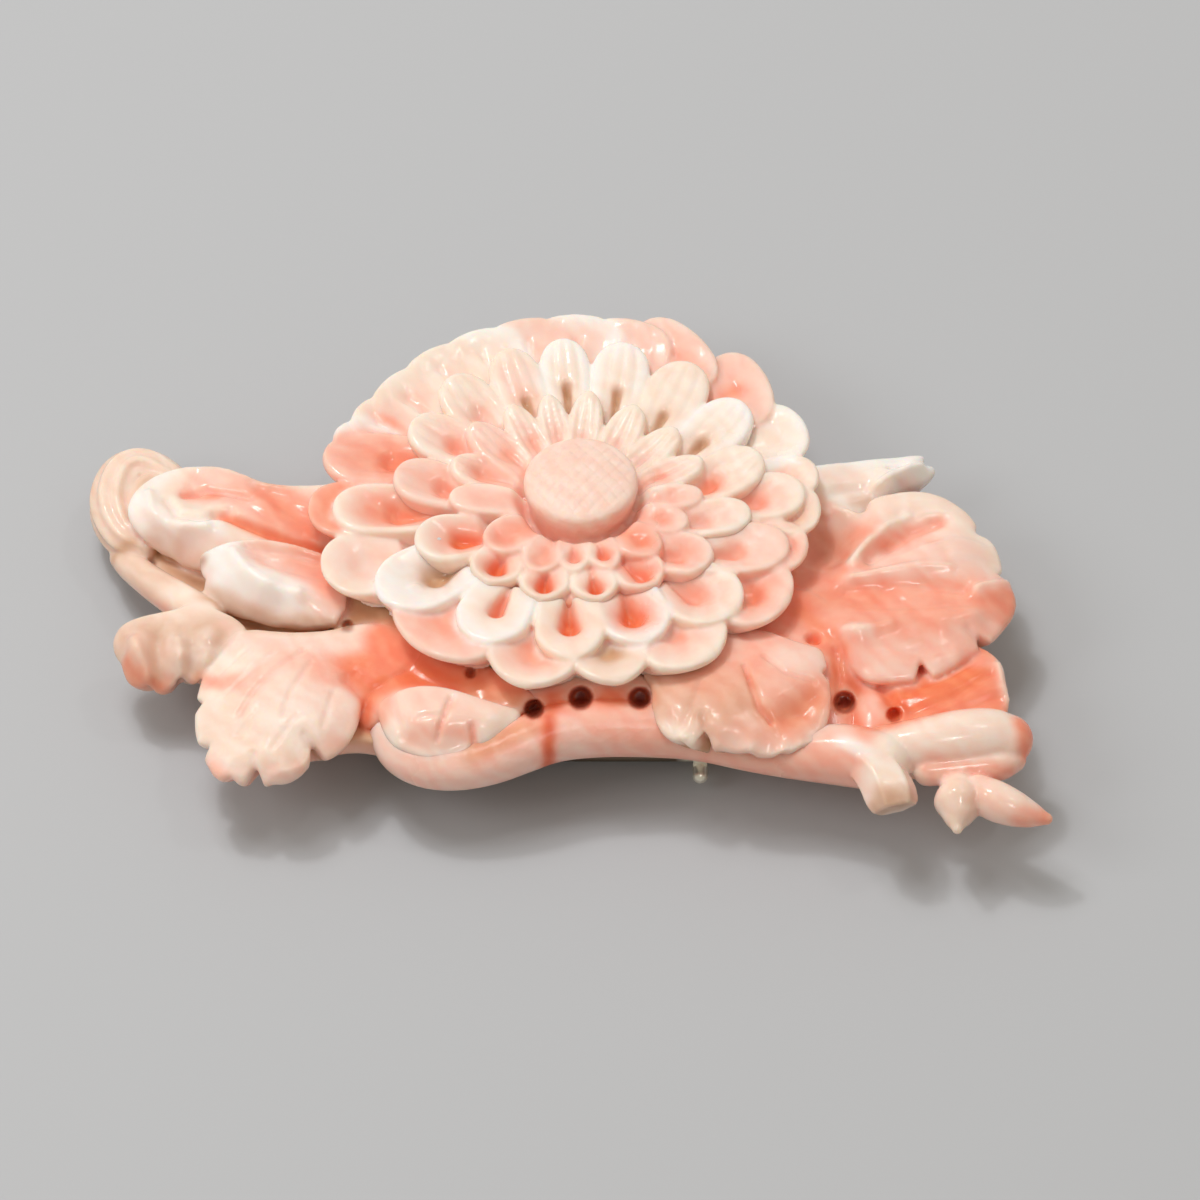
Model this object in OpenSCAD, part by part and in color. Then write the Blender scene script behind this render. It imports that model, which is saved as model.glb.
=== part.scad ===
// Carved coral brooch: a chrysanthemum over an arched branch with leaves and buds, and a pin fitting.
// Everything is drawn on its flat back (x to the right, y away, z out of the back) and then leaned
// back to where it lies on a table: on the far edge of the flat back and on the pin fitting.

/* [Carving] */
// Length of the whole carving, from the far left curl to the last bud
carving_length = 70; // [60:1:80]
// Thickness of a leaf under its midrib
leaf_thickness = 2.8; // [2.2:0.1:3.4]

/* [Flower] */
// Radius of the flat back under the flower
flower_back_r = 14.5; // [13.5:0.5:15]
// Radius of the round button in the middle
button_r = 4.1; // [3.6:0.1:4.4]
// Height of the button's crown above the flat back
button_top = 9.4; // [9:0.1:10]

/* [Pin fitting] */
// How far the fitting stands below the flat back
fitting_height = 4.2; // [3.8:0.1:5]
// Distance from the middle of the hinge knuckle to the middle of the catch
pin_span = 21; // [19:0.2:22]
// Diameter of the pin wire
wire_d = 0.9; // [0.7:0.05:1.1]
// Width of the soldered bar
bar_w = 3; // [2.4:0.1:3.6]
// Thickness of the soldered bar
bar_t = 0.8; // [0.6:0.1:1]
// Width of the catch along the pin
catch_w = 1; // [0.8:0.1:1.4]
// How far the round thumb tab reaches from the middle of the catch
tab_reach = 2; // [1.8:0.1:2.4]

/* [Hidden] */

// The tables below are for a carving of this length, and grow or shrink with carving_length
drawn_length = 70;
k = carving_length / drawn_length;

flower_x = 0.5;
flower_y = 0.5;

// Rings of petals from the button outwards: how many, root radius, tip radius, tip height, turn
petal_rings = [
    [12, 4.2, 7.4, 7.6, 0],
    [12, 7.3, 10.8, 7.7, 3],
    [18, 10.6, 14.7, 7.4, 0],
    [18, 14.5, 18.3, 6.9, 2]
];
// Every loop around the flower has this many points, so both petal counts divide it
flower_steps = 72;

// Loops over one ring of petals, from roots to tips and back under: share of the length, how far
// it pulls in between two petals, depth below the tip in a petal's middle and between two petals
petal_loops = [
    [0.00, 0.00, 2.1, 1.1],
    [0.45, 0.00, 1.3, 0.3],
    [0.85, 0.12, 0.5, 0.3],
    [1.00, 0.30, 0.0, 0.4],
    [0.93, 0.30, 1.4, 1.2]
];
// Loops of the flower's underside: radius, height
under_loops = [[16.3, 3.4], [flower_back_r, 0]];

// Outline of the button: radius, height
button_body = [
    [0, 4], [button_r - 0.4, 4], [button_r - 0.2, 7.1], [button_r, 7.8],
    [button_r - 0.5, button_top - 0.6], [button_r - 2, button_top - 0.15], [0, button_top]
];

// Leaves, from base to tip: x, y, top height, half width to the left and to the right of travel
leaf_far_left = [
    [-15.0, 1.5, 5.4, 2.4, 2.2], [-19.5, 1.6, 5.4, 2.6, 2.6], [-23.5, 2.0, 5.4, 3.0, 2.8],
    [-27.0, 2.4, 4.9, 4.0, 4.0], [-29.8, 2.6, 4.3, 2.8, 3.6], [-32.0, 3.0, 3.6, 0.9, 1.2]
];
leaf_curled_left = [
    [-15.5, -5.4, 4.8, 2.4, 3.0], [-18.5, -5.2, 5.4, 2.8, 3.2], [-22.5, -4.4, 5.6, 3.0, 3.2],
    [-25.0, -3.6, 5.0, 2.6, 2.4], [-27.0, -3.1, 3.7, 0.8, 0.8]
];
leaf_lobed_left = [
    [-12.5, -10.2, 4.0, 2.4, 2.0], [-18.0, -9.8, 3.9, 2.4, 1.8], [-23.5, -9.2, 3.9, 2.4, 2.0],
    [-27.5, -8.8, 3.8, 2.6, 2.4], [-31.0, -9.0, 3.2, 2.4, 2.2], [-33.2, -9.4, 2.3, 0.8, 0.8]
];
leaf_veined_left = [
    [-12.5, -13.2, 4.0, 1.6, 1.2], [-15.8, -14.4, 3.9, 4.6, 2.6], [-18.4, -15.4, 3.6, 4.6, 3.2],
    [-20.0, -16.1, 3.3, 5.2, 4.0], [-22.2, -17.0, 3.0, 4.2, 3.9], [-24.0, -17.8, 2.6, 4.0, 4.6],
    [-26.2, -18.4, 2.0, 2.4, 3.4], [-27.2, -18.8, 1.6, 0.8, 0.9]
];
leaf_front_left = [
    [-9.0, -12.2, 4.4, 2.4, 2.4], [-8.9, -14.2, 4.9, 4.6, 4.4], [-8.8, -16.4, 4.8, 5.5, 5.2],
    [-8.9, -18.6, 4.0, 4.2, 4.2], [-9.1, -20.4, 2.6, 1.2, 1.2]
];
leaf_far_right = [
    [16.5, 4.6, 5.2, 2.0, 1.8], [21.0, 5.6, 4.8, 1.9, 1.7], [24.5, 6.4, 4.4, 1.5, 1.4],
    [26.8, 6.9, 4.0, 0.5, 0.6]
];
leaf_broad_right = [
    [15.5, -5.8, 5.2, 3.0, 2.4], [19.0, -5.6, 5.4, 5.4, 6.0], [22.5, -5.2, 5.4, 7.8, 7.8],
    [25.2, -5.0, 5.1, 8.4, 6.6], [27.2, -5.0, 4.9, 8.0, 6.6], [30.0, -5.1, 4.4, 6.0, 4.0],
    [31.5, -5.2, 4.0, 4.0, 3.2], [32.8, -5.6, 3.5, 1.2, 1.0]
];
leaf_front_right = [
    [13.5, -11.5, 5.2, 3.6, 3.0], [13.2, -14.0, 5.2, 5.4, 6.2], [12.9, -16.6, 4.7, 5.9, 6.4],
    [12.6, -18.8, 3.7, 4.8, 4.6], [12.4, -20.3, 2.6, 1.6, 1.6]
];
leaf_low_right = [
    [20.5, -15.6, 3.2, 2.0, 2.4], [24.0, -15.4, 3.3, 2.8, 3.6], [28.0, -14.8, 3.4, 3.0, 3.2],
    [31.0, -14.0, 3.4, 2.4, 2.6], [32.4, -13.4, 3.2, 1.0, 1.2]
];
leaf_edge_drop = 0.7;
leaf_swell = 0.15;
leaf_groove = 0.3;
leaf_under_taper = 0.7;

// Round stems, from end to end: x, y, height of the middle, radius
branch = [
    [-11.5, -18.3, 1.9, 1.9], [-8.7, -19.9, 1.9, 2.1], [-3.5, -18.3, 2.1, 2.2], [0, -17.2, 2.2, 2.3],
    [5.0, -17.0, 2.2, 2.3], [9.6, -17.4, 2.1, 2.3], [14.0, -18.5, 2.0, 2.2], [18.5, -19.5, 1.9, 2.1],
    [22.5, -21.5, 1.8, 2.0]
];
branch_end = [
    [22.5, -20.8, 2.0, 1.9], [25.5, -21.0, 1.9, 2.2], [29.5, -20.0, 2.0, 2.2], [32.0, -19.3, 1.9, 1.9]
];
knob = [[23.2, -21.5, 2.2, 2.1], [23.7, -23.0, 1.2, 1.2]];
bud_middle = [[28.3, -22.3, 1.6, 1.5], [28.5, -25.1, 0.6, 0.5]];
bud_end = [[29.6, -21.6, 1.5, 1.2], [31.6, -23.1, 1.6, 1.3], [34.5, -24.2, 1.0, 0.5]];
curl = [
    [-30.8, 6.7, 3.4, 1.6], [-32.6, 5.6, 3.2, 1.8], [-33.2, 3.4, 2.6, 1.8], [-33.0, 1.0, 2.2, 1.6],
    [-32.3, -0.4, 1.9, 1.4]
];
curl_stem = [[-32.3, -0.4, 1.8, 1.4], [-31.0, -1.6, 1.6, 1.4], [-28.6, -3.4, 1.8, 1.3], [-26.0, -5.2, 2.2, 1.3]];

// Stone between the flower and the leaves: x, y, height of the middle, radius
bridge_left = [[-12, -3, 2.6, 2.6], [-20, -1, 2.4, 2.2], [-28, 2.6, 1.8, 1.6]];
bridge_right = [[12, -5, 2.6, 2.6], [24, -8, 2.2, 2.2], [27, -14, 1.8, 1.6]];

// Sheets of stone that the leaves are carved on, cut flat at the back
sheet_thickness = 1.8;
left_sheet = [
    [-12, 4.5], [-20, 3.4], [-28, 5], [-30, 3], [-28, -0.4], [-22, -2.6], [-25, -6.4],
    [-31, -8], [-31, -10], [-25.5, -11.5], [-25, -14], [-25, -18.6], [-20, -19.4], [-15.5, -17.6],
    [-12, -19], [-6, -17.5], [-4, -12]
];
right_sheet = [
    [12, 6], [20, 5.8], [24, 5.8], [22, 3], [28, 1.5], [31, -3], [31, -7], [27, -11],
    [30.5, -12.5], [30, -15], [30.5, -18], [28, -20.5], [22, -20.5], [18, -18], [10, -16.4], [4, -14]
];

// Drilled holes in front of the flower, turned to face up and forward: x, y, height, radius
front_holes = [
    [-7.1, -13.4, 4.4, 0.5], [-2.4, -16.9, 3.9, 0.9], [0.9, -16.1, 4.4, 0.95], [5.2, -16.1, 4.4, 0.85],
    [20.1, -14.9, 3.2, 0.9], [23.7, -16.3, 3.0, 0.6]
];
front_hole_tilt = 42;
front_hole_depth = 1.6;
front_hole_clear = 3;

// Pin fitting, in the plane across the pin: the knuckle and the catch share one rounded outline
catch_r = 1.3;
pin_y = -15.3 * k;
pin_z = catch_r - fitting_height;
pin_hinge_x = 9.6 * k - pin_span;
pin_catch_x = 9.6 * k;
bar_over = 2;
knuckle_w = 3;
catch_wall = 0.7;
wire_tip = 1.2;
tab_d = 1.1;

// Rest: the far edge of the flat back and the rounded fitting both touch the table
back_edge_y = (flower_y + flower_back_r) * k;
rest_reach = norm([back_edge_y - pin_y, pin_z]);
rest_lean = atan(-pin_z / (back_edge_y - pin_y)) + asin(catch_r / rest_reach);
rest_lift = back_edge_y * sin(rest_lean);
// Middle of the carving from front to back once it leans, so that the origin is under its middle
rest_middle_y = -2.95 * k;

stem_facets = 8;
bridge_facets = 6;
button_facets = 24;
far = 100;

// Numbers every face of a skin over rings of points, with a middle point to close each end
function skin_faces(rings, sides) = concat(
    [for (i = [0:rings - 2]) for (j = [0:sides - 1])
        [i * sides + j, (i + 1) * sides + (j + 1) % sides, i * sides + (j + 1) % sides]],
    [for (i = [0:rings - 2]) for (j = [0:sides - 1])
        [i * sides + j, (i + 1) * sides + j, (i + 1) * sides + (j + 1) % sides]],
    [for (j = [0:sides - 1]) [rings * sides, j, (j + 1) % sides]],
    [for (j = [0:sides - 1])
        [rings * sides + 1, (rings - 1) * sides + (j + 1) % sides, (rings - 1) * sides + j]]
);

function middle(points) = [for (axis = [0:2]) sum([for (p = points) p[axis]]) / len(points)];
function sum(list, i = 0) = i < len(list) ? list[i] + sum(list, i + 1) : 0;

module skin(rings) {
    sides = len(rings[0]);
    points = [for (ring = rings) for (p = ring) p];
    ends = [middle(rings[0]), middle(rings[len(rings) - 1])];
    polyhedron(concat(points, ends), skin_faces(len(rings), sides));
}

// How far a step lies from its petal's middle: 0 in the middle and 1 between two petals
function from_middle(step, ring) =
    let (span = flower_steps / ring[0])
    abs(((step + ring[4]) % span) / span * 2 - 1);

// One loop of points over a ring of petals
function petal_loop(ring, loop) = [
    for (step = [0:flower_steps - 1])
        let (
            side = from_middle(step, ring),
            r = ring[1] + (ring[2] - ring[1]) * (loop[0] - loop[1] * side * side),
            turn = -step * 360 / flower_steps
        )
        [r * cos(turn), r * sin(turn), ring[3] - loop[2] - (loop[3] - loop[2]) * side]
];

function round_loop(r, z) = [
    for (step = [0:flower_steps - 1])
        let (turn = -step * 360 / flower_steps)
        [r * cos(turn), r * sin(turn), z]
];

// Direction of travel at one row of a leaf, from the rows before and after it
function heading(rows, i) =
    let (a = rows[max(i - 1, 0)], b = rows[min(i + 1, len(rows) - 1)])
    atan2(b[1] - a[1], b[0] - a[0]);

// A leaf over a midrib: two swelling halves, a groove between them, and an undercut edge
module leaf(rows) {
    skin([for (i = [0:len(rows) - 1])
        let (
            r = rows[i],
            left = [-sin(heading(rows, i)), cos(heading(rows, i)), 0],
            foot = [r[0], r[1], 0],
            edge = r[2] - leaf_edge_drop,
            under = max(0.2, r[2] - leaf_thickness)
        )
        [
            foot + left * r[3] + [0, 0, edge],
            foot + left * r[3] / 2 + [0, 0, r[2] + leaf_swell],
            foot + [0, 0, r[2] - leaf_groove],
            foot - left * r[4] / 2 + [0, 0, r[2] + leaf_swell],
            foot - left * r[4] + [0, 0, edge],
            foot - left * r[4] * leaf_under_taper + [0, 0, under],
            foot + left * r[3] * leaf_under_taper + [0, 0, under]
        ]
    ]);
}

// A round stem through rows of a middle and a radius, as one skin with rounded ends
module stem(rows) {
    last = len(rows) - 1;
    skin([for (i = [0:last])
        let (
            turn = heading(rows, i),
            side = [-sin(turn), cos(turn), 0],
            centre = [rows[i][0], rows[i][1], rows[i][2]]
        )
        [for (j = [0:stem_facets - 1])
            let (a = j * 360 / stem_facets)
            centre + rows[i][3] * (side * cos(a) + [0, 0, sin(a)])]
    ]);
}

// Stone that fills between two places, through a row of balls
module bridge(rows) {
    for (i = [0:len(rows) - 2])
        hull() {
            ball(rows[i]);
            ball(rows[i + 1]);
        }
}

module ball(row) {
    translate([row[0], row[1], row[2]])
        sphere(r = row[3], $fn = bridge_facets);
}

module flower() {
    translate([flower_x, flower_y, 0]) {
        skin(concat(
            [for (ring = petal_rings) for (loop = petal_loops) petal_loop(ring, loop)],
            [for (loop = under_loops) round_loop(loop[0], loop[1])]
        ));
        rotate_extrude($fn = button_facets) polygon(button_body);
    }
}

module leaves() {
    leaf(leaf_far_left);
    leaf(leaf_curled_left);
    leaf(leaf_lobed_left);
    leaf(leaf_veined_left);
    leaf(leaf_front_left);
    leaf(leaf_far_right);
    leaf(leaf_broad_right);
    leaf(leaf_front_right);
    leaf(leaf_low_right);
}

module stems() {
    stem(branch);
    stem(branch_end);
    stem(curl);
    stem(curl_stem);
    bridge(knob);
    bridge(bud_middle);
    bridge(bud_end);
    bridge(bridge_left);
    bridge(bridge_right);
}

module sheets() {
    linear_extrude(sheet_thickness) polygon(left_sheet);
    linear_extrude(sheet_thickness) polygon(right_sheet);
}

module drilled_holes() {
    for (h = front_holes)
        translate([h[0], h[1], h[2]])
            rotate([front_hole_tilt, 0, 0])
                translate([0, 0, -front_hole_depth])
                    cylinder(r = h[3], h = front_hole_depth + front_hole_clear, $fn = 8);
}

// Leans the flat back to where it rests, and puts the origin on the table under the middle
module at_rest() {
    translate([0, -rest_middle_y, rest_lift])
        rotate([-rest_lean, 0, 0])
            children();
}

module coral_carving() {
    color("lightsalmon")
        at_rest()
            scale(k)
                difference() {
                    union() {
                        flower();
                        leaves();
                        stems();
                        sheets();
                    }
                    drilled_holes();
                    translate([-far / 2, -far / 2, -far])
                        cube(far);
                }
}

// Catch outline across the pin: a round hook, open on its far side above the wire
module catch_profile() {
    difference() {
        union() {
            circle(r = catch_r, $fn = 48);
            translate([-catch_r, 0])
                square([catch_wall, -pin_z]);
        }
        circle(r = catch_r - catch_wall, $fn = 48);
        square(2 * catch_r);
    }
}

module pin_back() {
    color("silver")
        at_rest()
            translate([0, pin_y, 0]) {
                translate([pin_hinge_x - bar_over, -bar_w / 2, -bar_t])
                    cube([pin_span + 2 * bar_over, bar_w, bar_t]);
                translate([pin_hinge_x - knuckle_w / 2, 0, pin_z])
                    rotate([0, 90, 0])
                        cylinder(r = catch_r, h = knuckle_w, $fn = 48);
                translate([pin_hinge_x - knuckle_w / 2, -catch_r, pin_z])
                    cube([knuckle_w, 2 * catch_r, -pin_z - bar_t / 2]);
                translate([pin_catch_x - catch_w / 2, 0, pin_z])
                    rotate([90, 0, 90])
                        linear_extrude(catch_w)
                            catch_profile();
                translate([pin_catch_x, catch_wall / 2 - catch_r, pin_z])
                    rotate([90, 0, 0])
                        cylinder(d = tab_d, h = tab_reach + catch_wall / 2 - catch_r, $fn = 32);
                translate([pin_catch_x, -tab_reach, pin_z])
                    sphere(d = tab_d, $fn = 32);
                translate([pin_hinge_x, 0, pin_z])
                    rotate([0, 90, 0])
                        cylinder(d = wire_d, h = pin_span + wire_tip, $fn = 32);
                translate([pin_catch_x + wire_tip, 0, pin_z])
                    sphere(d = wire_d, $fn = 32);
            }
}

coral_carving();
pin_back();
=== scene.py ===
import math
import bpy
import numpy as np
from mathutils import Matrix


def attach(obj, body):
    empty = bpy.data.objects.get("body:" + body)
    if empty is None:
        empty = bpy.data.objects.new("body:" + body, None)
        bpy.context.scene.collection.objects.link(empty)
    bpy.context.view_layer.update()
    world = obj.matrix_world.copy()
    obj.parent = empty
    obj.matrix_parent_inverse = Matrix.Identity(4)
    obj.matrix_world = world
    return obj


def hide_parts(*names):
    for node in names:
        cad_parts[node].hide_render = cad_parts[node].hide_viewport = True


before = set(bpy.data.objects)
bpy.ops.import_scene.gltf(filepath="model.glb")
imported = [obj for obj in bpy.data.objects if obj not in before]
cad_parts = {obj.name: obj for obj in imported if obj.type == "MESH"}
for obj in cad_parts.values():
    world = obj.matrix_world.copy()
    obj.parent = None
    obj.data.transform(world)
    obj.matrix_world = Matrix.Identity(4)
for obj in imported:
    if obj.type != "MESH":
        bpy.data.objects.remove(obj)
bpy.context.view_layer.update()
print("frame loaded")

# Everything on the brooch is worked out in millimetres on its flat back: x right, y away, z out of the back.
# It is then leaned back to where it lies on the table.
lie = {"lean": 7.915, "forward": 2.95, "lift": 2.0655}


def onTable(p):
    # turn about X by the lean, then shift: y' = y cos a + z sin a + forward, z' = z cos a - y sin a + lift;
    # mm to m
    c, s = math.cos(math.radians(lie["lean"])), math.sin(math.radians(lie["lean"]))
    return np.stack([p[:, 0], p[:, 1] * c + p[:, 2] * s + lie["forward"],
                     p[:, 2] * c - p[:, 1] * s + lie["lift"]], 1) * 0.001


def ease(a, b, x):
    # 0 below a, 1 above b, 3t^2 - 2t^3 between
    t = np.clip((x - a) / (b - a), 0, 1)
    return t * t * (3 - 2 * t)


def around(turn, r):
    # point at an angle in degrees and a distance
    return np.stack([r * np.cos(np.radians(turn)), r * np.sin(np.radians(turn))], -1)


def loft(rings):
    # closed skin over rings of points, each ring joined to the next and each end closed on its own middle
    n, m = rings.shape[:2]
    i, j = np.meshgrid(np.arange(n - 1), np.arange(m), indexing="ij")
    k = (j + 1) % m
    quads = np.stack([i * m + j, i * m + k, (i + 1) * m + k, (i + 1) * m + j], -1).reshape(-1, 4)
    a = np.arange(m)
    b = (a + 1) % m
    low, high = np.full(m, n * m), np.full(m, n * m + 1)
    tris = np.concatenate([np.stack([b, a, low], 1), np.stack([(n - 1) * m + a, (n - 1) * m + b, high], 1)])
    points = np.concatenate([rings.reshape(-1, 3), rings[:1].mean(1), rings[-1:].mean(1)])
    return points, quads, tris


def meshFrom(name, points, quads, tris):
    # fills a mesh from whole arrays: quads first, then triangles
    mesh = bpy.data.meshes.new(name)
    loops = np.concatenate([quads.ravel(), tris.ravel()]).astype(np.int32)
    starts = np.concatenate([np.arange(len(quads)) * 4, len(quads) * 4 + np.arange(len(tris)) * 3])
    mesh.vertices.add(len(points))
    mesh.vertices.foreach_set("co", points.astype(np.float32).ravel())
    mesh.loops.add(len(loops))
    mesh.loops.foreach_set("vertex_index", loops)
    mesh.polygons.add(len(starts))
    mesh.polygons.foreach_set("loop_start", starts.astype(np.int32))
    mesh.update(calc_edges=True)
    mesh.validate()
    return mesh


def readOut(items, key, width, kind=np.float32):
    # one attribute of all the items as a whole array
    out = np.empty(len(items) * width, kind)
    items.foreach_get(key, out)
    return out.reshape(-1, width)


def relax(points, edges, rounds, pull, push=0.0):
    # each round moves a point towards the mean of its neighbours by pull, then back by push
    n = len(points)
    a, b = edges[:, 0], edges[:, 1]
    count = np.maximum(np.bincount(a, minlength=n) + np.bincount(b, minlength=n), 1)[:, None]
    p = points.copy()
    for _ in range(rounds):
        for share in ((pull, -push) if push else (pull,)):
            total = np.stack([np.bincount(a, p[b, c], n) + np.bincount(b, p[a, c], n) for c in range(3)], 1)
            p += share * (total / count - p)
    return p


# Size in mm of the voxels, rounds of smoothing with their pull and push, and the pull that a hollow is
# measured with
skin = {"voxel": 0.15, "heartVoxel": 0.13, "rounds": 3, "pull": 0.5, "push": 0.42, "probe": 0.6}


def fuse(name, solids, voxel=skin["voxel"]):
    # overlapping closed skins joined into one skin by a voxel remesh, then relaxed
    shifts = np.cumsum([0] + [len(p) for p, _, _ in solids])
    points = np.concatenate([p for p, _, _ in solids])
    quads = np.concatenate([q + shift for (_, q, _), shift in zip(solids, shifts)])
    tris = np.concatenate([t + shift for (_, _, t), shift in zip(solids, shifts)])
    rough = bpy.data.objects.new(name + "Rough", meshFrom(name + "Rough", points, quads, tris))
    bpy.context.scene.collection.objects.link(rough)
    step = rough.modifiers.new("remesh", "REMESH")
    step.mode, step.voxel_size, step.adaptivity = "VOXEL", voxel, 0.0
    mesh = bpy.data.meshes.new_from_object(rough.evaluated_get(bpy.context.evaluated_depsgraph_get()))
    bpy.data.objects.remove(rough)
    edges = readOut(mesh.edges, "vertices", 2, np.int32)
    p = relax(readOut(mesh.vertices, "co", 3).astype(float), edges, skin["rounds"], skin["pull"], skin["push"])
    return mesh, p, edges


def hollowness(mesh, p, edges, rounds):
    # how far a point lies under the mean shape round it, in mm, positive in a hollow
    mesh.vertices.foreach_set("co", p.astype(np.float32).ravel())
    mesh.update()
    normals = readOut(mesh.vertices, "normal", 3).astype(float)
    return ((relax(p, edges, rounds, skin["probe"]) - p) * normals).sum(1)


# Tones of the stone as seen in plain light, each with a name
tones = {
    "white": (253, 242, 237), "cream": (251, 229, 215), "shell": (251, 212, 198), "blush": (251, 195, 178),
    "salmon": (250, 173, 150), "coral": (246, 150, 119), "orange": (241, 128, 83), "deep": (222, 98, 57),
    "ember": (138, 50, 35), "tan": (208, 160, 124), "umber": (150, 98, 66),
}


def tone(name):
    # sRGB to linear
    c = np.array(tones[name]) / 255
    return np.where(c <= 0.04045, c / 12.92, ((c + 0.055) / 1.055) ** 2.4)


def coat(p, name):
    # one tone on every point
    return np.tile(tone(name), (len(p), 1))


def layOver(colours, own, share):
    # moves each colour towards its own other one by its own share
    return colours * (1 - share[:, None]) + own * share[:, None]


def tint(colours, name, share):
    # moves each colour towards a named tone by its own share
    return layOver(colours, tone(name), np.clip(share, 0, 1))


# Points along and across a petal, its lip and roll with what they gain in front, its widest place, its grooves
# and side fall at the back; the height over which its top may sink; shares of tan at the back and of tan
# painted as shade on the foot
flower = {
    "middle": (0.5, 0.5), "stations": 44, "across": 33, "lip": 0.36, "roll": 0.36, "frontLip": 0.5,
    "frontRoll": 0.2, "widest": 0.6, "grooves": (-0.52, -0.05, 0.42), "grooveWidth": 0.14, "grooveDepth": 0.15,
    "sideFall": 0.4, "cutAbove": 5.6, "backTan": 0.7, "footShade": 0.4}

# Petals, in polar places about the flower's middle: tip angle, tip distance, half width, angle and distance of
# the pit, its length towards the root, half width and depth, the scoop's depth, tones of rim, scoop and pit;
# the scoop and pit tones are partly the petal's own colour and partly painted shade in its hollows
petalKeys = ("turn", "reach", "half", "pitTurn", "pitReach", "pitLength", "pitHalf", "pitDepth", "scoop",
             "rimTone", "scoopTone", "pitTone")

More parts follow.
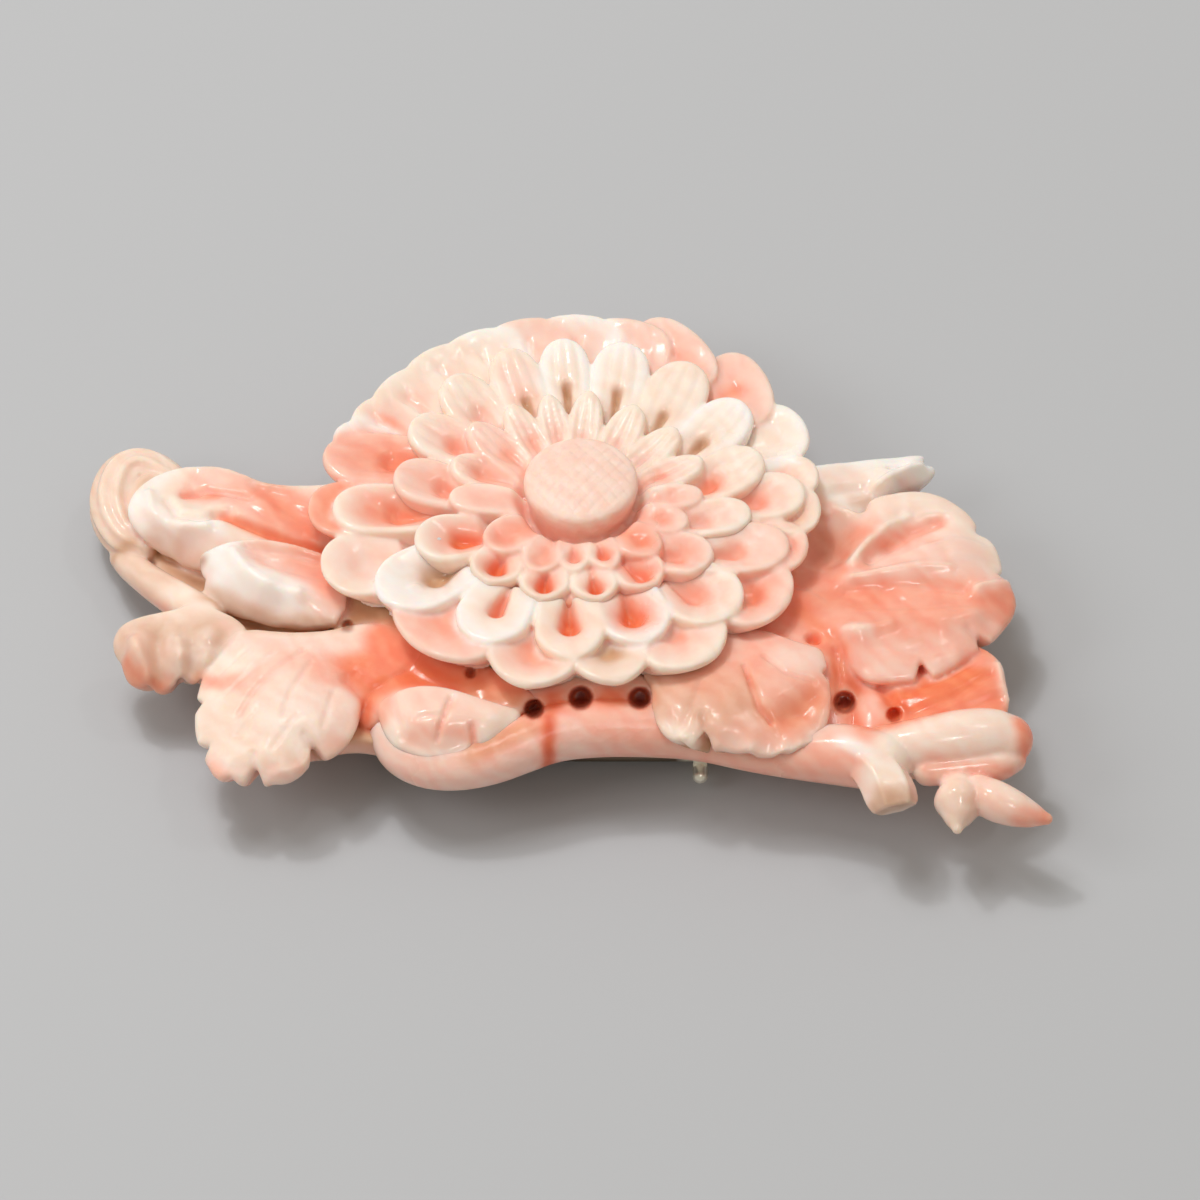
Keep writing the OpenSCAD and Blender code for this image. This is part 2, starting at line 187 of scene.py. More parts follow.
# Each row has the undercut of its walls, the row that lies over it, how soon its crest rises from the root,
# its width at the root as a share, how pointed it is in front, its share of grooves, the crest's drop at the
# root, the distance from pit to root, the crest's height at root and tip, its lift at the back, its share of
# lip in front, and the height of its foot.
petalRows = {
    "near": {
        "undercut": 0.2, "under": "", "rise": 0.2, "neck": 0.7, "point": 0.12, "lines": 1, "fade": 1,
        "root": 3.7, "rootCrest": 7, "tipCrest": 7.5, "backLift": 0.5, "frontLip": 0.2, "foot": 4.6,
        "rows": [
            (4, 9.4, 1.3, 4, 7, 0.5, 0.5, 0.2, 0.25, "shell", "blush", "blush"),
            (345.5, 8.6, 1.5, 345, 6.6, 0.5, 0.5, 0.2, 0.2, "shell", "blush", "salmon"),
            (320, 8, 1.7, 320, 6.2, 0.5, 0.5, 0.2, 0.15, "blush", "salmon", "coral"),
            (292, 7.3, 1.45, 292, 5.6, 0.4, 0.42, 0.8, 0.15, "shell", "blush", "coral"),
            (269, 7.1, 1.5, 269, 5.5, 0.4, 0.42, 0.7, 0.15, "cream", "blush", "salmon"),
            (246, 7.7, 1.65, 246, 6.3, 0.7, 0.6, 0.3, 0.2, "shell", "blush", "salmon"),
            (214, 7.9, 1.85, 214, 6.4, 0.8, 0.7, 0.3, 0.2, "shell", "salmon", "salmon"),
            (177.5, 9.3, 1.5, 177.5, 6.6, 0.5, 0.5, 0.1, 0.1, "shell", "blush", "blush"),
            (157, 9.9, 1.7, 155, 7.4, 1.2, 0.7, 0.5, 0.5, "cream", "blush", "salmon"),
            (136, 10.7, 1.6, 136, 6.8, 1, 0.6, 0.2, 0.3, "shell", "shell", "salmon"),
            (117.5, 10.4, 1.3, 117.5, 6.8, 1, 0.4, 0.2, 0.3, "cream", "shell", "salmon"),
            (101.5, 10.4, 1.2, 101, 6.8, 1, 0.4, 0.2, 0.3, "cream", "shell", "blush"),
            (84.5, 10.6, 1.3, 85, 6.8, 1, 0.4, 0.2, 0.35, "cream", "cream", "shell"),
            (64, 10.2, 1.5, 63, 6.8, 1, 0.4, 0.2, 0.35, "cream", "cream", "shell"),
            (43, 10.2, 1.5, 42, 6.8, 1, 0.4, 0.2, 0.35, "cream", "cream", "shell"),
            (23.5, 10.2, 1.45, 23, 6.8, 1, 0.4, 0.2, 0.3, "cream", "shell", "salmon")]},
    "second": {
        "undercut": 0.6, "under": "", "rise": 0.2, "neck": 0.7, "point": 0.26, "lines": 0.8, "fade": 1,
        "root": 2.6, "rootCrest": 7, "tipCrest": 7.35, "backLift": 0.55, "frontLip": 0.35, "foot": 4.6,
        "rows": [
            (356.4, 12.9, 1.8, 351, 9.5, 1.4, 0.6, 0.7, 0.35, "cream", "shell", "blush"),
            (333, 11.4, 2.1, 327, 9, 1.4, 0.62, 0.8, 0.4, "shell", "blush", "salmon"),
            (307, 10, 2, 305.6, 8.4, 1.1, 0.6, 1, 0.35, "shell", "blush", "coral"),
            (280.5, 9.8, 1.8, 280.3, 8.4, 0.8, 0.45, 1.3, 0.1, "cream", "shell", "orange"),
            (255.5, 9.9, 1.9, 254.3, 8.4, 0.8, 0.5, 1.3, 0.1, "cream", "blush", "orange"),
            (231, 10.2, 2.05, 227, 8.4, 0.8, 0.58, 1.3, 0.3, "cream", "blush", "orange"),
            (198.5, 12.4, 2.35, 201, 9, 1.6, 0.65, 1, 0.5, "cream", "blush", "orange"),
            (167, 13.6, 2.2, 169, 9.8, 1.5, 0.65, 0.9, 0.45, "shell", "blush", "salmon"),
            (147, 14.4, 2.15, 145, 10.6, 0.8, 0.7, 0.9, 0.35, "cream", "shell", "salmon"),
            (127, 15.3, 2.1, 127.5, 11.4, 1.6, 0.7, 0.7, 0.3, "cream", "cream", "blush"),
            (109, 15.7, 2, 109.5, 10.9, 2.6, 0.3, 0.6, 0.1, "cream", "shell", "tan"),
            (93.5, 15.9, 1.9, 93.2, 11.7, 3.6, 0.28, 0.75, 0.1, "white", "cream", "tan"),
            (77, 15.9, 2.2, 74.5, 11.5, 3.4, 0.28, 0.75, 0.1, "white", "cream", "tan"),
            (58, 16, 2.4, 54, 11, 2.4, 0.32, 0.65, 0.15, "cream", "cream", "tan"),
            (38.5, 15.7, 2.3, 34, 11.3, 1.8, 0.38, 0.7, 0.25, "white", "cream", "tan"),
            (19.5, 14.4, 2.2, 13.5, 10.2, 1.4, 0.7, 0.9, 0.4, "cream", "cream", "coral")]},
    "third": {
        "undercut": 1.1, "under": "second", "rise": 0.12, "neck": 0.8, "point": 0.14, "lines": 1,
        "fade": 1.2, "root": 3.4, "rootCrest": 6.95, "tipCrest": 7.05, "backLift": 0, "frontLip": 1,
        "foot": 4.4,
        "rows": [
            (347, 16.1, 2.45, 340, 12.4, 1.4, 0.62, 0.9, 0.4, "shell", "shell", "salmon"),
            (318.5, 15.8, 3.1, 316.5, 12, 1.4, 0.8, 1.2, 0.5, "cream", "shell", "salmon"),
            (291, 14.5, 2.75, 292, 11.2, 0.9, 0.75, 1.7, 0.45, "white", "blush", "orange"),
            (269, 15.2, 2.6, 268, 11.6, 2, 0.62, 1.8, 0.15, "cream", "cream", "orange"),
            (242, 15.2, 2.8, 240.5, 11.7, 2, 0.42, 1.6, 0.15, "white", "cream", "coral"),
            (212.5, 16.9, 3.1, 212, 12, 1.3, 0.85, 1.2, 0.6, "white", "white", "tan"),
            (181, 17.8, 2.5, 181, 12.9, 1.8, 0.9, 1.1, 0.6, "cream", "salmon", "coral"),
            (165, 19.2, 2.6, 160, 14.2, 1.6, 0.8, 1, 0.5, "blush", "salmon", "coral"),
            (5, 16.9, 2.3, 4, 13.2, 1.4, 0.75, 1, 0.45, "cream", "shell", "salmon")]},
    "outer": {
        "undercut": 1.9, "under": "third", "rise": 0.12, "neck": 0.8, "point": 0.08, "lines": 0.6,
        "fade": 1, "root": 3.4, "rootCrest": 6.3, "tipCrest": 6.7, "backLift": 0.7, "frontLip": 1,
        "foot": 4.3,
        "rows": [
            (180, 19.6, 2.7, 180, 16.2, 0.6, 1, 0.6, 0.3, "salmon", "coral", "orange"),
            (199, 19.5, 3.2, 199, 15.8, 0.6, 1.2, 0.7, 0.4, "cream", "shell", "shell"),
            (228.5, 17.8, 4.5, 229.5, 14, 0.6, 1.6, 0.5, 0.2, "shell", "blush", "salmon"),
            (257, 17.7, 3.4, 258, 13.8, 0.6, 1.2, 0.9, 0.4, "cream", "blush", "salmon"),
            (281, 17.3, 3, 280, 13.8, 0.6, 1.1, 0.7, 0.2, "cream", "cream", "tan"),
            (305.5, 17.7, 3.7, 301, 13.9, 0.6, 0.9, 0.7, 0.3, "cream", "shell", "salmon"),
            (330, 18.1, 3.6, 328, 14.8, 0.8, 1.1, 0.9, 0.5, "shell", "blush", "coral"),
            (346, 17.5, 2.6, 346, 15.2, 0.6, 0.9, 0.7, 0.4, "shell", "blush", "coral"),
            (0, 18, 2.6, 0, 15.6, 0.6, 0.9, 0.7, 0.4, "cream", "shell", "tan"),
            (11.5, 18.2, 2.2, 11.5, 15.4, 0.6, 0.9, 0.6, 0.4, "cream", "cream", "blush"),
            (27, 18.8, 3, 27, 16, 0.6, 0.9, 0.4, 0.4, "white", "cream", "cream"),
            (42, 19, 3.8, 45, 16.6, 0.9, 0.4, 0.7, 0.4, "shell", "blush", "coral"),
            (61.5, 19, 4.1, 65, 16.6, 0.9, 0.4, 0.8, 0.4, "shell", "blush", "coral"),
            (77, 18.75, 3.5, 77, 16, 0.6, 0.7, 0.3, 0.4, "shell", "shell", "shell"),
            (90, 18.75, 3.5, 90, 16, 0.6, 0.7, 0.3, 0.4, "white", "shell", "shell"),
            (102.5, 18.75, 3.4, 102.5, 16, 0.6, 0.7, 0.3, 0.4, "shell", "shell", "shell"),
            (114.5, 18.75, 3.4, 114.5, 16, 0.6, 0.7, 0.3, 0.4, "white", "cream", "cream"),
            (126, 18.8, 3.3, 126, 16, 0.6, 0.7, 0.3, 0.4, "cream", "cream", "shell"),
            (138, 18.7, 3.4, 138, 15.8, 0.6, 0.7, 0.3, 0.4, "cream", "cream", "blush"),
            (149, 18.8, 2.6, 149, 16, 0.6, 0.7, 0.4, 0.4, "cream", "shell", "salmon"),
            (157, 19.2, 2, 157, 16.5, 0.6, 0.7, 0.3, 0.4, "white", "shell", "salmon")]},
}

for spread in petalRows.values():
    spread["rows"] = [dict(zip(petalKeys, row)) for row in spread["rows"]]


def petalAxes(petal, spread):
    # root, direction, side and length of a petal that runs through its pit to its tip
    tip, pit = around(petal["turn"], petal["reach"]), around(petal["pitTurn"], petal["pitReach"])
    ahead = (tip - pit) / np.linalg.norm(tip - pit)
    root = pit - ahead * spread["root"]
    return root, ahead, np.array([-ahead[1], ahead[0]]), float(np.linalg.norm(tip - root))


def backness(petal):
    # 1 for a petal that points straight back, 0 for one that points sideways or forward
    return max(0.0, math.sin(math.radians(petal["turn"])))


def frontness(petal):
    # 1 for a petal that points straight forward, 0 for one that points sideways or back
    return max(0.0, -math.sin(math.radians(petal["turn"])))


def petalHalf(petal, spread, u):
    # half width along a petal: swells from its neck as a sine to the widest place, then rounds off, pointed
    # in front
    front, widest = frontness(petal), flower["widest"]
    swell = spread["neck"] + (1 - spread["neck"]) * np.sin(np.clip(u / widest, 0, 1) * math.pi / 2)
    end = np.clip(1 - np.clip((u - widest) / (1 - widest), 0, 1) ** (2.3 - 0.75 * front), 0, 1)
    return petal["half"] * swell * end ** (0.47 + spread["point"] * front - 0.06 * backness(petal))


def petalTop(petal, spread, u, v, length):
    # height over a petal: a crest, less the scoop, less the pit, less a quarter ellipse over the lip; petals
    # at the back have grooves too, and fall off to their sides
    half, front, back = petalHalf(petal, spread, np.minimum(u, 0.97)), frontness(petal), backness(petal)
    crest = spread["rootCrest"] + (spread["tipCrest"] - spread["rootCrest"]) * ease(0, flower["widest"], u)
    crest = crest - spread["fade"] * (1 - ease(0, spread["rise"], u))
    crest = crest + spread["backLift"] * back * ease(0.4, 1, u)
    lip, lipAhead = flower["lip"], flower["lip"] + flower["frontLip"] * front * spread["frontLip"]
    roll = flower["roll"] + flower["frontRoll"] * front
    overSide = np.clip((np.abs(v) * half - (half - lip)) / lip, 0, 1)
    overTip = np.clip((u * length - (length - lipAhead)) / lipAhead, 0, 1)
    over = 1 - np.sqrt(np.clip(1 - overSide ** 2 - overTip ** 2, 0, 1))
    scoop = (1 - np.clip(np.abs(v) * half / np.maximum(half - 0.4, 0.1), 0, 1) ** 2) * (1 - ease(0.6, 0.95, u))
    # the pit is a bowl with a flat floor plus a wide soft one, drawn out and narrowed towards the root
    ahead, wide = u * length - spread["root"], petal["pitHalf"] * 1.15
    drawnOut = petal["pitLength"] + wide
    rootward = np.clip(-ahead / drawnOut, 0, 1)
    off = (ahead / np.where(ahead > 0, wide, drawnOut)) ** 2 + (v * half / (wide * (1 - 0.7 * rootward))) ** 2
    pit = 0.72 * np.exp(-1.1 * off ** 1.3) + 0.28 * np.exp(-0.35 * off)
    grooves = sum(np.exp(-((v - at) * half / flower["grooveWidth"]) ** 2) for at in flower["grooves"])
    grooves = grooves * ease(0.15, 0.4, u) * (1 - ease(0.85, 0.98, u))
    fall = flower["grooveDepth"] * grooves + flower["sideFall"] * v ** 2
    z = crest - petal["scoop"] * scoop - petal["pitDepth"] * pit - roll * over
    return z - ease(0.0, 0.35, back) * spread["lines"] * fall, scoop, pit


# Its crease is the depth of the groove round its foot, deepest in front; the hatching on top is cut in two
# directions
button = {
    "middle": (0.9, 1.55), "radius": 4.2, "crease": 1.3, "creaseWidth": 0.55, "hatch": 0.045,
    "hatchStep": 0.85, "hatchWidth": 0.13, "hatchTurns": (38, -38), "cream": 0.25, "sideSalmon": 0.4,
    "matt": 0.85}


def petalSolid(petal, spread):
    # the cross-section of a petal, scooped top, walls pulled in a little and flat foot, carried from root to
    # tip
    root, ahead, side, length = petalAxes(petal, spread)
    u = np.sin(np.linspace(0.02, 1, flower["stations"]) * math.pi / 2)[:, None]
    v = np.sin(np.linspace(-1, 1, flower["across"]) * math.pi / 2)[None, :]
    top = petalTop(petal, spread, u, v, length)[0]
    half = petalHalf(petal, spread, u)
    drop = np.array([0.3, 0.65, 1.0])[None, :]
    back = spread["undercut"] * drop ** 1.2 * ease(0.3, 1, u)
    wall = np.maximum(half * (1 - 0.1 * drop ** 2) - 0.4 * back, 0.3 * half)
    low = top[:, -1:] + (spread["foot"] - top[:, -1:]) * drop
    s = u * length
    along = np.concatenate([s * np.ones_like(v), s - back, (s - back)[:, ::-1]], 1)
    across = np.concatenate([v * half, wall, -wall[:, ::-1]], 1)
    z = np.concatenate([top, low, low[:, ::-1]], 1)
    plan = root + np.array(flower["middle"]) + along[..., None] * ahead + across[..., None] * side
    # the top sinks along the button's foot and in the pits of the row that lies over it
    toButton = plan - np.array(button["middle"])
    offButton = np.hypot(toButton[..., 0], toButton[..., 1]) - button["radius"]
    forward = 0.5 - 0.5 * toButton[..., 1] / (offButton + button["radius"])
    crease = np.exp(-(offButton / button["creaseWidth"]) ** 2)
    z -= (z > flower["cutAbove"]) * button["crease"] * (0.15 + 0.85 * forward) * crease
    for above in petalRows.get(spread["under"], {"rows": []})["rows"]:
        pit = around(above["pitTurn"], above["pitReach"])
        gap = np.linalg.norm(plan - pit - np.array(flower["middle"]), axis=-1)
        sink = 0.9 * above["pitDepth"] * np.exp(-(gap / (above["pitHalf"] + 0.5)) ** 4)
        z -= (z > flower["cutAbove"]) * sink
    return loft(np.concatenate([plan, z[..., None]], -1)[:, ::-1])


def turned(profile, middle, steps):
    # a profile of distance and height turned about an upright axis
    profile = np.array(profile, float)
    a = np.linspace(0, 2 * math.pi, steps, endpoint=False)[None, :]
    r, z = profile[:, :1], profile[:, 1:]
    return loft(np.stack([middle[0] + r * np.cos(a), middle[1] + r * np.sin(a), z * np.ones_like(a)], -1))


def buttonSolid():
    # domed drum: its side swells a little, its top is a flat dome
    r = button["radius"]
    profile = [
        (0.3, 4.5), (r - 0.5, 4.5), (r - 0.4, 6.2), (r - 0.15, 7.2), (r, 7.95), (r - 0.03, 8.3),
        (r - 0.18, 8.58), (r - 0.5, 8.78), (r - 1.1, 8.93), (r - 2, 9.1), (r - 3, 9.2), (0.4, 9.26)]
    return turned(profile, button["middle"], 96)


# Round parts under the petals, as distance and height: the foot of the flower, the stone left under the back
# rows so that their grooves stay shallow, the disc that carries the inner rows, and a peg between two petals
# in front
flowerFoot = [
    (0.3, 0), (13.4, 0), (13.9, 0.25), (14.1, 1.6), (14.3, 3.2), (14.6, 4.6), (14.3, 5.2), (0.3, 5.2)]
backFill = [
    (0.3, 4.4), (16.6, 4.4), (17.3, 5.2), (17.4, 5.9), (16.9, 6.35), (15.6, 6.3), (14.5, 6), (13, 5.7),
    (0.3, 5.6)]
heartDisc = [(0.3, 3.6), (9.8, 3.6), (10.8, 4.2), (9.8, 4.9), (5.2, 5.2), (0.3, 5.2)]
peg = {"at": (0.2, -7.9), "profile": [(0.3, 4), (1, 4), (1, 5.8), (0.8, 6.35), (0.3, 6.5)]}


def backFillSolid():
    # the profile turned about the middle, its height over its foot faded out towards the front
    points, quads, tris = turned(backFill, flower["middle"], 120)
    a = np.arctan2(points[:, 1] - flower["middle"][1], points[:, 0] - flower["middle"][0])
    foot = backFill[0][1]
    points[:, 2] = foot + (points[:, 2] - foot) * ease(0.0, 0.5, np.sin(a))
    return points, quads, tris


def petalColours(p, colours, name):
    # inside each petal's outline: rim tone, scoop tone by the scoop's depth, pit tone by the pit's depth;
    # these two are partly the petal's own colour and partly painted shade deepening into the hollows
    spread = petalRows[name]
    flat = p[:, :2] - np.array(flower["middle"])
    for petal in spread["rows"]:
        root, ahead, side, length = petalAxes(petal, spread)
        u = (flat - root) @ ahead / length
        w = (flat - root) @ side
        half = petalHalf(petal, spread, np.clip(u, 0.02, 0.985))
        v = np.clip(w / half, -1, 1)
        inside = (1 - ease(half, half + 0.25, np.abs(w))) * ease(-0.05, 0.03, u) * (1 - ease(1.0, 1.02, u))
        _, scoop, pit = petalTop(petal, spread, np.clip(u, 0, 1), v, length)
        # scoop and pit tones grow with depth: partly the petal's own colour, partly painted shade
        own = tint(coat(p, petal["rimTone"]), petal["scoopTone"], scoop ** 0.8)
        own = tint(own, petal["pitTone"], pit ** 0.7 * 1.1)
        colours = layOver(colours, own, inside)
    return colours


def lineDistance(x, y, line):
    # distance to a broken line: the least, over its stretches, of the distance to the nearest place on each
    line = np.array(list(line) * 2 if len(line) == 1 else line, float)
    best = np.full(x.shape, 1e9)
    for a, b in zip(line[:-1], line[1:]):
        along = b - a
        t = np.clip(((x - a[0]) * along[0] + (y - a[1]) * along[1]) / max(float(along @ along), 1e-9), 0, 1)
        best = np.minimum(best, np.hypot(x - a[0] - t * along[0], y - a[1] - t * along[1]))
    return best


def heightField(places, soften=0.3):
    # smooth height through places (x, y, z): weights times r^2 log r, plus a plane, softened a little
    places = np.array(places, float)
    n = len(places)
    gap = np.hypot(places[:, None, 0] - places[None, :, 0], places[:, None, 1] - places[None, :, 1])
    grid = np.zeros((n + 3, n + 3))
    grid[:n, :n] = gap ** 2 * np.log(np.maximum(gap, 1e-9)) + np.eye(n) * soften
    grid[:n, n:] = np.concatenate([np.ones((n, 1)), places[:, :2]], 1)
    grid[n:, :n] = grid[:n, n:].T
    weights = np.linalg.solve(grid, np.concatenate([places[:, 2], np.zeros(3)]))

    def height(x, y):
        r = np.hypot(x[..., None] - places[:, 0], y[..., None] - places[:, 1])
        bent = (r ** 2 * np.log(np.maximum(r, 1e-9))) @ weights[:n]
        return bent + weights[n] + weights[n + 1] * x + weights[n + 2] * y
    return height


def cutCorners(points, rounds, closed):
    # each corner gives way to the quarter and three-quarter points of its two sides
    for _ in range(rounds):
        a, b = (points, np.roll(points, -1, 0)) if closed else (points[:-1], points[1:])
        cut = np.stack([a * 0.75 + b * 0.25, a * 0.25 + b * 0.75], 1).reshape(-1, points.shape[1])
        points = cut if closed else np.concatenate([points[:1], cut, points[-1:]])
    return points


def evenly(points, step, closed):
    # the same line with its points an even step apart
    if closed:
        points = np.concatenate([points, points[:1]])
    run = np.concatenate([[0], np.cumsum(np.linalg.norm(np.diff(points[:, :2], axis=0), axis=1))])
    want = np.linspace(0, run[-1], max(4, int(run[-1] / step)), endpoint=not closed)
    return np.stack([np.interp(want, run, points[:, c]) for c in range(points.shape[1])], 1)


# Edges of the leaves: width and fall of the rounded lip, step between points, rings from middle to edge,
# reach of a notch's pull, and how far in the stone is cut back at each depth under the edge
leafEdge = {
    "lip": 0.35, "roll": 0.28, "step": 0.16, "rings": 60, "notch": 0.7,
    "undercut": [(0.05, 0.2), (0.3, 0.55), (0.9, 1.1), (1.6, 1.8), (2.4, 2.8)]}

